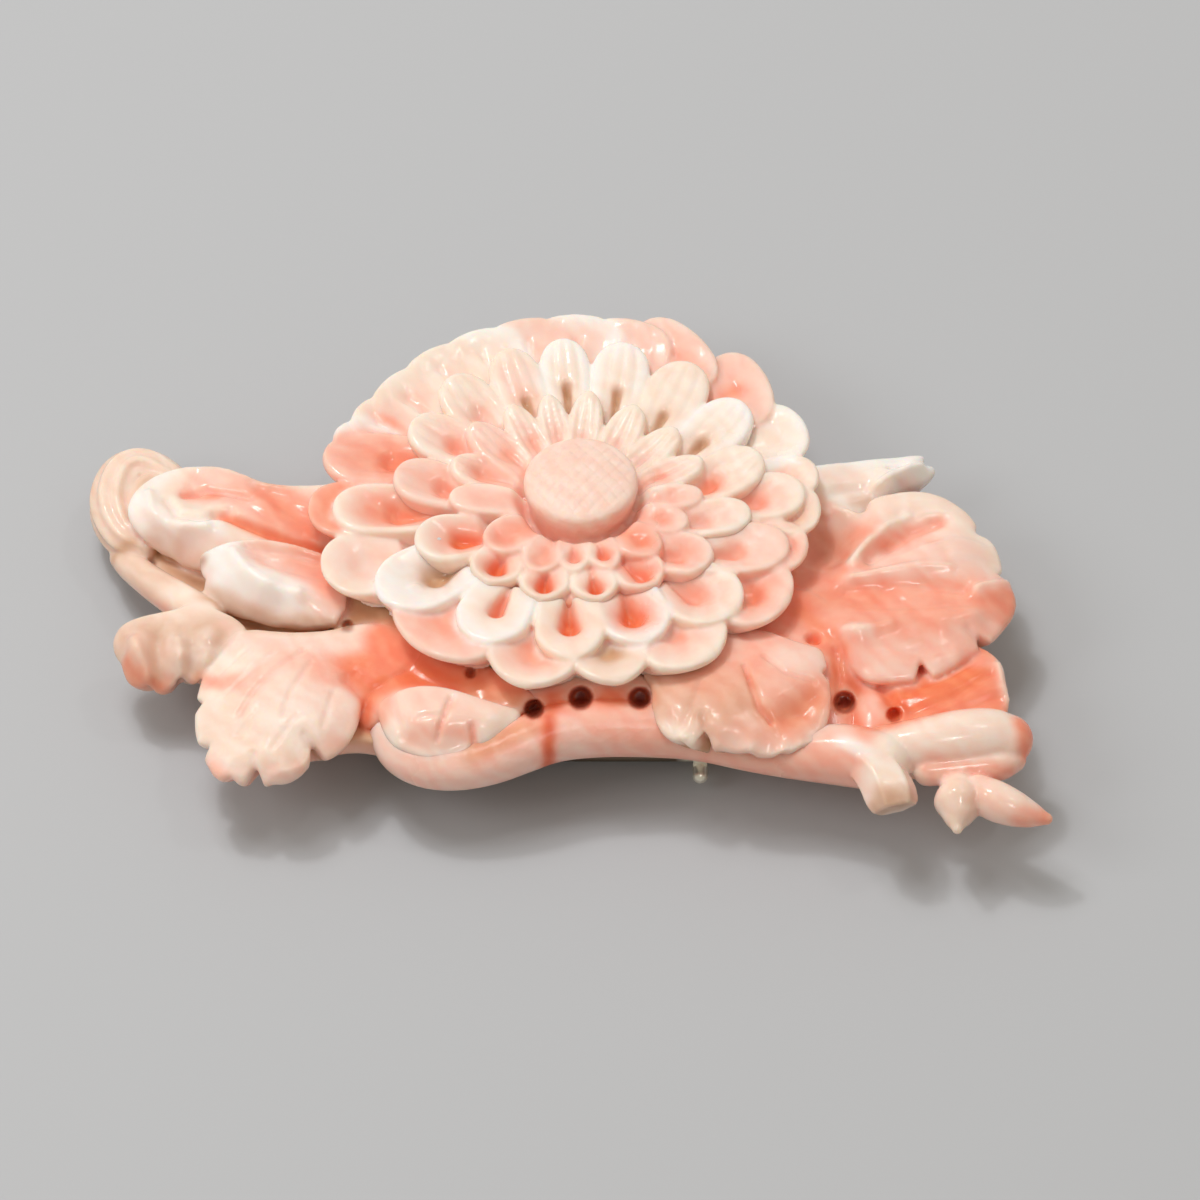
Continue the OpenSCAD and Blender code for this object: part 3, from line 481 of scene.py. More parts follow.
# Leaves: base tone; outline and inner places with their heights; middle; notches as place and shift; carved
# lines as depth, width and places; painted strokes as tone, share, width and places; matt as a share
leaves = {
    "farLeft": {"base": "cream", "middle": (-24, 1.7), "outline": [
        (-15.8, 4.7, 5), (-17.8, 4.2, 5.2), (-19.5, 4.1, 5.2), (-21.1, 4, 5.4), (-22.3, 4.2, 5.5),
        (-23.7, 4.9, 5.5), (-25.3, 5.9, 5.3), (-27, 6.2, 5.1), (-28.6, 6.2, 4.9), (-30.2, 5.5, 4.9),
        (-31.4, 4.4, 4.9), (-32.1, 3.4, 4.8), (-32.4, 2.3, 4.6), (-32.1, 1.1, 4.3), (-31.2, 0.1, 3.9),
        (-30, -0.4, 3), (-28.6, -1.1, 2.6), (-27, -2, 2.8), (-25.1, -2.6, 3), (-21.8, -3.1, 3.2),
        (-16, -1.8, 3.4)],
        "inner": [
        (-30.6, 2.1, 5.1), (-30, 0.7, 5), (-28.6, -0.3, 4.9), (-25.9, -0.2, 5.2), (-27.7, 2.3, 4.9),
        (-25.9, 3.2, 5), (-24, 2.9, 5.3), (-22.2, 2.3, 5.4), (-19.6, 1.5, 5.2), (-17.4, 0.8, 4.9),
        (-19.6, -0.4, 4.6), (-24, 0.5, 5.2), (-23.3, -0.6, 4.8)],
        "carve": [
        (0.45, 0.4, [(-29.4, 2.5), (-28.7, 0.9), (-27, 0.6), (-24.9, 1.4)]),
        (0.55, 0.38, [(-25.9, 1.2), (-22.9, 0), (-20.4, -0.9), (-17.8, -1.4)]),
        (0.26, 0.5, [(-22.7, 3.3), (-20.7, 1.7), (-18.3, -0.1)]),
        (0.35, 0.3, [(-28.2, 3.3), (-26.6, 3.8), (-25.1, 3.3), (-23.3, 2.6)]),
        (-0.4, 0.45, [(-30.8, 3.3), (-30.6, 1.4), (-29.9, 0.4), (-28.6, -0.3), (-26.6, -0.1)]),
        (0.2, 0.38, [(-23.3, 4.1), (-20.7, 3), (-17.8, 2.3)]),
        (0.14, 0.36, [(-24.4, 2.4), (-22.4, 1), (-19.6, -0.2)]),
        (0.14, 0.36, [(-21.8, 3.3), (-19.6, 1.7), (-17.4, 0.7)]),
        (0.14, 0.4, [(-27.2, 5.5), (-27.7, 4.4), (-27.2, 3.5)])],
        "paint": [
        ("white", 1, 1.3, [(-32.2, 2.5), (-31.9, 0.9)]),
        ("blush", 0.9, 1.69, [(-26.6, 4.3), (-24.4, 3.2), (-21.8, 1.6), (-18.9, 0.3)]),
        ("salmon", 0.9, 1.3, [(-23.7, 4.1), (-20.7, 2.6), (-17.8, 1.4)]),
        ("coral", 0.6, 1.43, [(-21.5, 1), (-17.8, -0.3)]),
        ("salmon", 0.9, 0.55, [(-28.1, 3.4), (-25.9, 3.2)]), ("coral", 0.7, 0.39, [(-26.4, 3), (-25.8, 3.1)]),
        ("orange", 0.9, 0.5, [(-25.3, 1), (-22.9, -0.1), (-20.4, -1), (-17.8, -1.5)]),
        ("coral", 0.7, 0.55, [(-22.4, 3.1), (-20.5, 1.2), (-18.8, -0.3)]),
        ("shell", 0.6, 1.04, [(-25.9, 5.5), (-23.7, 4.6)]),
        ("white", 0.9, 1.04, [(-31.1, 2.7), (-30.5, 0.9), (-29.5, 0.1), (-28.1, -0.4), (-26.1, -0.3)]),
        ("white", 0.8, 0.77, [(-30.6, 4.2), (-29.5, 5.7)]),
        # tan under the leaf's tip is painted shade on its shadow side
        ("tan", 0.5, 0.77, [(-30.6, -0.3), (-29.2, -0.9), (-27.1, -1.9)]),
        ("shell", 0.5, 0.66, [(-27.7, -0.8), (-24.8, -1.5)]),
        ("shell", 0.4, 1.17, [(-31.3, 0.7), (-29.9, -0.3), (-27.7, -1.5)])]},
    "curledLeft": {"base": "white", "middle": (-22.2, -5.4), "outline": [
        (-17.7, -2.5, 5), (-19.6, -2.1, 5.5), (-21.5, -1.7, 5.7), (-23.1, -1.5, 5.7), (-24.6, -1.7, 5.5),
        (-25.6, -1.9, 5.3), (-26.4, -2, 4.9), (-27, -2.1, 4.4), (-27, -2.7, 4.1), (-26.8, -3.3, 3.5),
        (-26.8, -4.4, 3.1), (-26.1, -5.4, 3), (-25.1, -6.2, 3), (-24, -6.8, 3), (-22.4, -7.6, 3.2),
        (-20.7, -8.1, 3.5), (-18.9, -8.5, 3.6), (-16.3, -8.3, 3.9), (-16, -3.9, 4.7)],
        "notches": [
        (-26.7, -3.8, 0.3, 0.1)],
        "inner": [
        (-24.4, -3.1, 5.6), (-23.5, -5, 5.7), (-22, -6.2, 5.6), (-19.6, -6.8, 5.3), (-17.4, -6.5, 4.8),
        (-25.9, -3.4, 4.7), (-25.3, -5.1, 4.4), (-23.7, -6.3, 4.3), (-21.1, -7, 4.3), (-22.2, -3.4, 5.2),
        (-20, -4.2, 5), (-18.2, -4.9, 4.7)],
        "carve": [
        (0.35, 0.8, [(-23, -2.9), (-20.7, -3.9), (-17.8, -4.1)]),
        (-0.45, 0.55, [(-24.6, -2.9), (-23.7, -4.8), (-22.4, -6.1), (-19.8, -6.8)]),
        (0.3, 0.28, [(-23.6, -2.1), (-21.1, -2.6), (-18.2, -3.1)])],
        "paint": [
        ("blush", 0.9, 1.82, [(-22.4, -2.3), (-20.4, -3.3), (-17.8, -4.9)]),
        ("salmon", 0.75, 1.3, [(-19.6, -2.6), (-17.8, -4.1), (-17.1, -6.7)]),
        ("coral", 0.6, 0.66, [(-18, -2.8), (-16.9, -4.3)]),
        ("shell", 0.6, 1.04, [(-24, -6.6), (-20.4, -7.9), (-17.4, -7.9)]),
        ("shell", 0.6, 0.55, [(-26.5, -4), (-26.7, -2.6)]),
        # white along the raised ridge is partly the leaf's own white and partly a painted highlight
        ("white", 0.9, 1.04, [(-25.9, -2.4), (-24.6, -2.9), (-23.3, -5.5), (-19.8, -6.9)]),
        ("tan", 0.6, 0.44, [(-26.6, -4.7), (-24, -6.8), (-20.4, -8.2), (-17.1, -8.4)]),
        ("shell", 0.6, 0.66, [(-19.2, -7), (-18, -7.2)])]},
    "lobedLeft": {"base": "cream", "middle": (-28.3, -10.5), "outline": [
        (-23.3, -8.7, 3.6), (-24.3, -7.5, 3.6), (-25.3, -6.9, 3.6), (-26.1, -6.3, 3.6), (-27, -6, 3.7),
        (-28, -6.3, 3.6), (-28.8, -6.5, 3.4), (-29.9, -6.7, 3.3), (-30.9, -6.9, 3.2), (-32, -7.2, 3),
        (-32.8, -7.7, 2.8), (-33.3, -8.7, 2.5), (-33.2, -9.6, 2.2), (-32.7, -10.3, 1.9), (-32.5, -11.2, 1.6),
        (-32.1, -11.9, 1.3), (-31.2, -12.4, 1.2), (-30.2, -12.6, 1.2), (-29.4, -12.6, 1.3),
        (-28.7, -12.5, 1.6), (-27.8, -12.4, 2), (-27, -12.7, 2.4), (-26.5, -12.3, 3), (-25.6, -11.1, 3.4),
        (-23.7, -9.8, 3.6)],
        "inner": [
        (-31.9, -9.9, 3.9), (-31.2, -11.4, 3.7), (-30.8, -12.4, 2.9), (-32.2, -11, 3.2), (-30, -9.4, 3.3),
        (-30, -11.1, 2.8), (-29.9, -12.2, 2.1), (-28.7, -10, 4.2), (-28.4, -11.9, 4.2), (-28.4, -12.7, 3.5),
        (-29.2, -8.2, 3.7), (-27.5, -8.8, 3.8), (-27.4, -10.3, 3.6), (-27.5, -11.6, 3.2), (-26.4, -10.2, 4.6),
        (-26.5, -11.6, 4.2), (-25.9, -8.6, 4.2), (-24.8, -9.1, 3.9)],
        "carve": [
        (0.3, 0.6, [(-29.4, -8.1), (-29.9, -9.7), (-30, -11.1), (-29.7, -11.9)]),
        (0.25, 0.5, [(-26.5, -10.9), (-27.2, -11.4), (-27.4, -11.8)]),
        (-0.2, 0.4, [(-31.9, -10), (-31.3, -11.5), (-30.8, -12.2)]),
        (-0.25, 0.5, [(-28.4, -10.3), (-28.1, -11.8)])],
        "paint": [
        # the broad tan strokes darken this leaf as painted shade
        ("tan", 0.45, 2.6, [(-31.7, -10.1), (-29.9, -10.6), (-27.7, -11.4)]),
        ("tan", 0.45, 2.6, [(-26.2, -10.5), (-24, -9.4)]),
        ("shell", 0.5, 1.56, [(-31.3, -10.2), (-30.6, -11.2)]),
        ("coral", 0.85, 0.61, [(-32.5, -11.2), (-32.1, -11.9), (-30.6, -12.7), (-29.2, -12.6)]),
        ("orange", 0.8, 0.44, [(-28.4, -13), (-26.5, -12.6)]),
        ("white", 0.4, 1.17, [(-28.7, -10.3), (-28.3, -11.6)]),
        ("white", 0.5, 0.77, [(-26.4, -9.8), (-26.7, -11.3)]),
        # tan in the crease and over the whole leaf is painted shade
        ("tan", 0.25, 0.66, [(-29.9, -8.3), (-30.1, -10.2), (-29.9, -11.6)]),
        ("tan", 0.22, 3.9, [(-31.7, -10.1), (-29.2, -10.5), (-25.9, -10.7)]),
        ("shell", 0.6, 0.66, [(-25.1, -8.7), (-23.7, -9.4)])]},
    "veinedLeft": {"base": "cream", "middle": (-20.5, -15.6), "matt": 0.45, "outline": [
        (-10.5, -11.7, 4), (-11.6, -9.7, 4), (-13.8, -8.5, 4.1), (-15.8, -8.5, 4), (-17.4, -9.1, 4),
        (-19.6, -9.2, 3.9), (-21.5, -9, 3.8), (-23.3, -8.7, 3.7), (-24.3, -9.2, 3.7), (-25.1, -10.4, 3.4),
        (-26.1, -11.6, 3.1), (-26.7, -12.6, 2.8), (-27, -13.8, 2.5), (-27.2, -14.9, 2.3), (-27.2, -16.5, 2),
        (-27.1, -17.6, 1.8), (-26.6, -18.7, 1.7), (-26.3, -20, 1.5), (-25.7, -21.2, 1.4), (-24.6, -21.7, 1.3),
        (-23, -21.7, 1.3), (-21.8, -21.8, 1.4), (-20.4, -21.8, 1.5), (-19.4, -21.3, 1.8), (-18.7, -20.6, 2.2),
        (-18.2, -20.1, 2.5), (-17.4, -20.2, 2.5), (-16.6, -19.7, 2.6), (-15.8, -18.8, 2.9),
        (-15.2, -17.4, 3.2), (-15, -15.7, 3.5), (-14.7, -14.8, 3.6), (-13.4, -14, 3.8)],
        "notches": [
        (-22.8, -21.7, 0.05, 1), (-18.3, -20.1, -0.45, 0.9), (-27.2, -14.9, 0.6, 0.1),
        (-26.6, -18.7, 0.6, 0.2), (-24.6, -21.7, 0.05, 0.35)],
        "inner": [
        (-16.3, -10.5, 4.3), (-18.9, -10.8, 4.3), (-21.5, -10.7, 4.2), (-23.7, -10.9, 4.1),
        (-16.3, -12.7, 4.1), (-18.2, -14.4, 4.3), (-20.4, -13.6, 4.5), (-22.9, -13, 4.1), (-25.1, -13.5, 3.3),
        (-26, -15.3, 2.9), (-24, -15.7, 3.6), (-21.8, -16.2, 4.1), (-19.6, -16.9, 4.3), (-17.4, -17.1, 4),
        (-16, -16.2, 3.9), (-16.3, -18.1, 3.5), (-18.2, -19.2, 3.6), (-20.4, -19.5, 3.4), (-22.9, -18.7, 3.1),
        (-25.3, -18.3, 2.6), (-24.8, -20.5, 2.3), (-22.6, -21.1, 2.4), (-20.7, -21.2, 2.5),
        (-14.5, -12.3, 4.2)],
        "carve": [
        (0.3, 0.25, [(-22.9, -20.2), (-22.8, -21.5)]), (0.3, 0.25, [(-19.2, -19), (-18.6, -19.7)]),
        (0.2, 0.24, [(-19.3, -11.5), (-21.3, -13.3), (-22.9, -15.1), (-24, -17)]),
        (0.18, 0.22, [(-18.8, -12.7), (-20.2, -15.5), (-20.7, -17.4)]),
        (0.15, 0.22, [(-17.1, -15.2), (-17.8, -18.4)]),
        (0.15, 0.22, [(-23.3, -11.1), (-24.9, -12.5), (-26.4, -13.7)]),
        (0.15, 0.22, [(-21.5, -11.5), (-23.8, -13.9), (-25.8, -15.7)]),
        (0.12, 0.2, [(-22.4, -16.5), (-24, -18.6)]), (0.12, 0.2, [(-19.6, -17.5), (-21.5, -19.9)]),
        (-0.3, 0.3, [(-21.5, -21.6), (-20.2, -21.4), (-19.3, -20.9), (-18.6, -20.1)]),
        (-0.2, 0.3, [(-26.2, -20.2), (-25.3, -21.3), (-23.6, -21.5)]),
        (0.5, 0.6, [(-16, -13.9), (-14.7, -15.1)]),
        (-0.15, 0.9, [(-23.3, -17.5), (-20.4, -18.2), (-17.8, -17.9)])],
        "paint": [
        ("shell", 0.8, 1.3, [(-23.7, -10.2), (-20.4, -11.1), (-16.7, -11.2)]),
        ("cream", 0.7, 1.56, [(-24.9, -16.4), (-24.4, -19.4)]),
        ("shell", 0.7, 1.17, [(-16.3, -16.5), (-16, -18.2), (-17.1, -19.6)]),
        ("salmon", 0.95, 1.56, [(-18, -13.4), (-16.3, -13.4), (-15.1, -14)]),
        ("coral", 1, 1.69, [(-13.4, -9.9), (-11.7, -11.2)]),
        ("coral", 1, 1.3, [(-12.9, -10.5), (-14.2, -12.3), (-15.1, -13.3)]),
        ("orange", 0.6, 1.04, [(-15.8, -12.5), (-14.4, -13.7)]),
        ("coral", 1, 1.43, [(-12.2, -11.5), (-12.6, -13.1), (-13.6, -14)]),
        ("orange", 0.95, 0.55, [(-13.5, -14), (-14.7, -15.4), (-14.9, -16.9)]),
        ("blush", 0.6, 1.17, [(-19.3, -12.6), (-18.2, -13.6)]),
        ("salmon", 0.8, 0.66, [(-26.5, -13.1), (-25.1, -13.7), (-23.7, -14)]),
        ("blush", 0.7, 1.04, [(-23.7, -14.5), (-22.4, -13.5), (-20.7, -12.6)]),
        ("blush", 0.5, 0.39, [(-19.6, -12.1), (-21.3, -13.5), (-22.9, -15.3), (-23.9, -16.8)]),
        ("blush", 0.7, 0.66, [(-19.6, -21.3), (-17.8, -20), (-16.3, -19.4)]),
        ("shell", 0.9, 0.77, [(-26.4, -19.7), (-25.1, -21.5), (-22.6, -21.7), (-20.4, -21.6)]),
        ("salmon", 0.6, 0.44, [(-26.1, -20.5), (-25.2, -21.5)]),
        ("white", 0.35, 1.82, [(-20.4, -17.7), (-17.8, -17.3)]),
        ("tan", 0.16, 2.86, [(-23.7, -17.5), (-20.4, -19.2), (-17.4, -18.4)]),
        ("shell", 0.5, 2.08, [(-20.4, -15.5), (-17.4, -16.2)]),
        # thin tan along the top edge is painted shadow in the crevice under the leaves above
        ("tan", 0.5, 0.28, [(-23.3, -9), (-19.6, -9.5), (-16.3, -9.1)])]},
    "frontLeft": {"base": "cream", "middle": (-9.4, -17.9), "outline": [
        (-13.5, -15.6, 3.8), (-12.5, -15.1, 4.1), (-11.3, -14.8, 4.3), (-10, -14.9, 4.5), (-8.5, -15.3, 4.6),
        (-7.1, -15.8, 4.5), (-5.6, -16.3, 4.3), (-4.4, -16.6, 4.1), (-3.5, -16.7, 3.9), (-3.4, -17.2, 3.6),
        (-3.8, -18, 3.3), (-4.6, -18.8, 3.1), (-5.4, -19.4, 3), (-6.3, -19.7, 3.1), (-6.9, -19.6, 3.4),
        (-7.2, -20, 2.9), (-8.1, -20.4, 2.6), (-9.3, -20.6, 2.5), (-10.5, -20.5, 2.6), (-11.7, -20, 2.7),
        (-12.6, -19.4, 2.8), (-13.2, -18.6, 2.9), (-13.7, -17.4, 3.2), (-14, -16.2, 3.5)],
        "inner": [
        (-11.6, -17.5, 4.5), (-10.1, -16.8, 4.8), (-8.7, -17.8, 4.8), (-10.1, -18.9, 4.4), (-8.7, -19.5, 3.9),
        (-10.5, -19.8, 3.5), (-6.5, -17.8, 4.6), (-5, -18.1, 4.2), (-5.7, -19.1, 3.8), (-12, -18.9, 3.8)],
        "carve": [
        (0.35, 0.2, [(-8.5, -16.2), (-9, -18), (-9.5, -19.4)]),
        (0.7, 0.2, [(-7, -18.7), (-6.8, -19.5), (-6.7, -19.9)]),
        (0.3, 0.7, [(-11.2, -19.5), (-9.4, -19.8), (-7.8, -19.5)]),
        (-0.2, 0.3, [(-12.2, -19.6), (-10.5, -20.5), (-8.7, -20.5), (-7.4, -20)]),
        (0.15, 0.2, [(-9, -18), (-10.9, -18.2)]),
        (0.25, 0.25, [(-12.9, -15.1), (-12.6, -17.2), (-12, -19.1)])],
        "paint": [
        ("shell", 0.7, 2.34, [(-12.9, -16.1), (-10.1, -16.8), (-7.2, -17.2)]),
        ("blush", 0.3, 1.3, [(-13.2, -16), (-10.9, -17.3)]),
        ("salmon", 0.6, 1.17, [(-11, -19.5), (-9, -19.7), (-7.8, -19.4)]),
        ("salmon", 0.6, 0.24, [(-8.4, -17), (-9.4, -19.1)]),
        ("coral", 0.6, 0.55, [(-13.5, -15.9), (-13.5, -17.3)]),
        ("coral", 0.5, 0.28, [(-6.9, -18.7), (-6.8, -19.6)]),
        ("shell", 0.7, 0.55, [(-11.6, -20), (-9.4, -20.4), (-7.6, -20)])]},
    "saddleLeft": {"base": "coral", "middle": (-13.4, -13.1), "outline": [
        (-16.7, -9.3, 3), (-17.8, -6.1, 3.6), (-16.3, -5.1, 4), (-13.4, -5.7, 4.2), (-10.5, -8, 4.3),
        (-7.6, -11.3, 4.3), (-4.6, -13.7, 4.2), (-1.7, -15.8, 4), (-3, -16.7, 3.8), (-5, -17.1, 3.3),
        (-9.4, -16, 3.3), (-12.3, -16.1, 3.4), (-13.6, -16.6, 3.2), (-13.9, -17, 2.6), (-14.7, -17.2, 2.4),
        (-15.4, -16.4, 2.4), (-15.4, -15, 2.8), (-15.8, -12.3, 3)],
        "inner": [
        (-14.4, -10.9, 3.7), (-13.8, -7.8, 4.1), (-10.1, -10.8, 4.1), (-12.3, -13, 3.8), (-14.5, -14.5, 3.3),
        (-9.4, -14.4, 3.8), (-6.5, -15.8, 3.7), (-14.7, -16.6, 2.9)],
        "carve": [
        (0.15, 0.6, [(-13.5, -11.5), (-10.9, -13.8), (-7.2, -15.4)]),
        (0.2, 0.4, [(-14.4, -11.8), (-14.7, -14.4), (-14.8, -16.8)])],
        "paint": [
        ("orange", 0.7, 1.69, [(-13.9, -11.2), (-10.9, -14), (-7.2, -15.5)]),
        ("deep", 0.35, 0.55, [(-13.5, -11.5), (-10.9, -14), (-7.2, -15.5)]),
        # the tan strokes are painted shade: beside the flower's foot and in the gap between the curled leaf
        # and the flower
        ("tan", 0.5, 1.3, [(-6.5, -15.8), (-3.5, -16.6)]),
        ("tan", 1, 1.95, [(-17.4, -6.4), (-15.3, -6.2), (-13.1, -7)]),
        ("tan", 0.6, 1.04, [(-16.7, -7.7), (-14.9, -8.2)]),
        ("deep", 0.5, 0.55, [(-14.7, -14.9), (-14.8, -17.1)])]},
    "farRight": {"base": "white", "middle": (22.2, 4.6), "outline": [
        (17.3, 6.1, 5), (18.3, 6.2, 5.1), (20.6, 6.7, 4.9), (22.6, 7.2, 4.7), (24.6, 7.6, 4.5),
        (26, 7.9, 4.3), (26.5, 7.8, 4.2), (26.4, 7.2, 4.2), (27, 6.9, 4), (26.9, 6.4, 3.9), (26.5, 5.9, 3.8),
        (25.8, 5.2, 3.8), (24.6, 4.7, 4), (23.7, 3.9, 4.1), (22.8, 3.3, 3.9), (21.8, 2.4, 3.8),
        (20.2, 1.9, 3.9), (18.4, 2.2, 4), (17.3, 3.2, 4.4)],
        "notches": [
        (26.5, 7.5, -0.4, -0.1)],
        "inner": [
        (19.1, 4.4, 5.1), (21, 4.7, 4.9), (22.6, 4.9, 5), (23.7, 4.7, 5.3), (25, 5.5, 5.1), (26, 6.3, 4.7),
        (23.2, 4.1, 4.8), (24.3, 6.6, 4.7), (21.7, 6, 5), (20.6, 3.5, 4.6)],
        "carve": [
        (-0.45, 0.32, [(22.6, 4.2), (23.7, 4.8), (24.6, 5.5), (25.9, 6.3)]),
        (0.4, 0.22, [(23.5, 5.9), (25.1, 6.5), (26.7, 7.3)]), (0.3, 0.4, [(19.5, 3.7), (21.5, 4.1)]),
        (0.12, 0.4, [(20.2, 5.6), (22.4, 6.2)])],
        "paint": [
        ("cream", 0.7, 1.56, [(18.8, 4.2), (22.1, 4.7)]), ("shell", 0.5, 1.04, [(19.5, 5), (20.6, 5.1)]),
        ("blush", 0.5, 0.44, [(24.5, 4.6), (25.3, 4.9)]), ("tan", 0.4, 0.33, [(25.9, 5.1)]),
        ("tan", 0.5, 0.55, [(21, 3.1), (21.8, 3.3)])]},
    "broadRight": {"base": "salmon", "middle": (24.3, -6.1), "matt": 0.1, "outline": [
        (16.9, 3.5, 4.4), (18.8, 3, 4.6), (20.2, 2.4, 4.7), (21.5, 2, 4.7), (22.1, 2.9, 5), (23.7, 3.5, 5),
        (26, 3.7, 5), (27.5, 3.2, 4.9), (28.5, 2.5, 4.8), (29.2, 2, 4.6), (29.8, 1.1, 4.5), (30.2, 0, 4.4),
        (31.1, -0.7, 4.3), (31.6, -2, 4.1), (31.8, -3.5, 4), (32.3, -4.6, 3.9), (32.8, -5.9, 3.6),
        (32.5, -7.1, 3.3), (31.5, -8.9, 3.4), (30.5, -10.1, 3.5), (29.2, -11.4, 3.6), (27.9, -12.6, 3.7),
        (27, -13.2, 3.7), (26, -13.6, 3.7), (24.8, -13.8, 3.7), (23.7, -13.9, 3.7), (22.6, -13.9, 3.7),
        (21.8, -13.7, 3.7), (21.1, -13.2, 3.6), (20.5, -12.5, 3.9), (20.1, -11.5, 4.3), (19.7, -10.6, 4.5),
        (17.8, -9.8, 4.6), (15.8, -8.8, 4.4), (15.1, -6.3, 4), (16.2, -1.8, 3.4)],
        "notches": [
        (25.9, -13.6, -0.25, 1.4), (30.4, -10.2, -0.6, 0.8), (30.1, 0.2, -0.3, -0.3), (31.9, -3.8, -0.5, 0)],
        "inner": [
        (18.8, 2.1, 3.5), (19.7, 0.4, 3.2), (18.5, -1.4, 3), (19.7, -2.2, 3.6), (20.8, -3.5, 5.1),
        (21.5, -2.6, 5.4), (22.2, -1.7, 5.4), (23.1, -0.3, 5.3), (24, 1.1, 5.1), (22.8, 2, 5.2),
        (25, 2.2, 5.4), (27.2, 1.7, 5.3), (28.8, 0.5, 5), (26.1, 1.4, 5.2), (21.9, -2.8, 4.5),
        (23.2, -1.3, 4.3), (24.6, -0.2, 4.4), (26.6, 0.7, 4.7), (24.3, -3.6, 5.4), (26.1, -2.4, 5.6),
        (28.3, -1.7, 5.4), (30.1, -2.1, 4.9), (30.8, -3.2, 4.5), (20.6, -5, 5.1), (22.8, -4.7, 5.3),
        (25.7, -4.4, 5.4), (28.6, -4.6, 5.2), (30.7, -5, 4.7), (20.2, -5.8, 4.4), (22.8, -5.9, 4.6),
        (25.7, -5.7, 4.7), (28.6, -5.9, 4.7), (30, -6.1, 5.1), (31.7, -5.6, 4.6), (21.3, -8.4, 5),
        (24.3, -8.5, 5.2), (27.2, -8.5, 5.2), (29.7, -8.1, 4.9), (31.6, -7.1, 4.2), (20.6, -10.5, 5.3),
        (22.8, -10.5, 4.9), (25.7, -10.5, 4.5), (28.3, -9.8, 4.3), (30.5, -8.5, 3.9), (21.9, -12.1, 4.5),
        (23.9, -12.6, 4.4), (25.3, -12.4, 4.3), (26.8, -12.2, 4.2), (28.5, -11.4, 4.1), (16.9, -6.5, 4.3)],
        "carve": [
        (0.3, 0.4, [(29.2, -9.2), (29.8, -9.8)]),
        (-0.35, 0.35, [(20.7, -3.3), (21.5, -2.3), (22.5, -1.2), (23.5, 0.1), (24.8, 1.1)]),
        (0.4, 0.5, [(21.9, -3), (23.4, -1.3), (25.1, -0.1), (27.2, 0.7)]),
        (0.2, 0.45, [(21.2, -4.4), (23.2, -3.6), (25.3, -3.3), (27.5, -2.9)]),
        (-0.25, 0.35, [(20.6, -5), (22.4, -4.5), (25, -4.2), (27.9, -4.1)]),
        (0.3, 0.5, [(20.3, -5.7), (22.8, -5.5), (25.7, -5.4), (29, -5.9)]),
        (-0.3, 0.35, [(29.7, -6), (30.8, -5.4), (32.2, -4.6)]),
        (0.3, 0.8, [(21.2, -7), (24.3, -7.5), (27.9, -7.5), (31.6, -6.9)]),
        (0.12, 0.35, [(23.1, -5.8), (23.7, -6.1), (24.3, -7)]),
        (-0.3, 0.5, [(20.1, -10.1), (21.3, -10.3), (23.4, -9.6)]),
        (0.14, 0.4, [(24.3, 1.1), (26.1, 1.9), (27.9, 2)]),
        (0.14, 0.4, [(26.4, -1.4), (28.6, -0.7), (30.5, -1)]),
        (0.12, 0.4, [(27.9, -3.7), (30.1, -3.1), (31.4, -3.1)]), (0.5, 0.4, [(21.4, 2.3), (21.5, 2.3)]),
        (0.12, 0.45, [(22.1, -11.4), (24.6, -11.7), (27.5, -11)]),
        (0.12, 0.4, [(27.2, -7.2), (29.7, -7.2), (31.9, -6.2)])],
        "paint": [
        ("shell", 1, 2.47, [(24.6, 1.4), (27.2, 0.9), (29, -0.6), (30.5, -2.6)]),
        ("cream", 0.7, 1.95, [(20.6, 2.8), (22.8, 2.6), (25.3, 2.6), (27.5, 1.7), (29, 0.8)]),
        ("cream", 0.8, 1.04, [(30, -1.1), (31.2, -2.8)]),
        # cream along the raised ridge is partly the leaf's own tone and partly a painted highlight
        ("cream", 0.9, 0.5, [(20.7, -3.3), (22.1, -1.8), (23.7, 0.3), (24.6, 1.1)]),
        ("salmon", 0.9, 0.61, [(21.9, -3), (23.2, -1.3), (25, -0.1), (27.2, 0.6)]),
        ("coral", 0.4, 0.33, [(22.2, -2.7), (23.7, -1)]),
        ("shell", 0.9, 1.3, [(23.2, -3.1), (25.7, -2.5), (29.4, -3)]),
        ("shell", 0.8, 0.55, [(20.6, -4.9), (22.8, -4.5), (25.7, -4.3), (28.6, -4.4)]),
        ("coral", 0.6, 1.17, [(16.9, -7.1), (19.5, -6.4), (22.1, -6.4)]),
        ("tan", 0.2, 1.69, [(18.5, 1.4), (19.3, -1.1)]), ("shell", 0.7, 1.04, [(17.8, 3), (19.5, 2.3)]),
        ("coral", 0.5, 1.56, [(30.8, -7.7), (32.2, -6.5)]),
        ("blush", 0.85, 1.43, [(21.9, -12.1), (25, -12.1), (27.9, -11.2), (30.5, -9)]),
        ("shell", 0.7, 0.66, [(22.1, -13.3), (24.8, -13.5), (27.9, -12.4)]),
        ("shell", 0.9, 0.55, [(20.3, -10.2), (21.8, -10.3)]), ("shell", 0.7, 0.44, [(30, -5.9), (32, -4.8)]),
        ("orange", 0.6, 0.66, [(16.9, -7.9), (19.1, -10.6), (19.7, -11.4)]),
        ("tan", 0.7, 0.44, [(21.4, 2.2)])]},
    # this leaf lies in the flower's shade: its blush base and its two wide tan strokes are partly painted
    # shade
    "frontRight": {"base": "blush", "middle": (12.9, -17.4), "matt": 0.12, "outline": [
        (5.2, -13.7, 4.8), (6.1, -15.5, 4.6), (6, -16.7, 4.3), (6.3, -18.1, 4), (6.8, -19.1, 3.8),
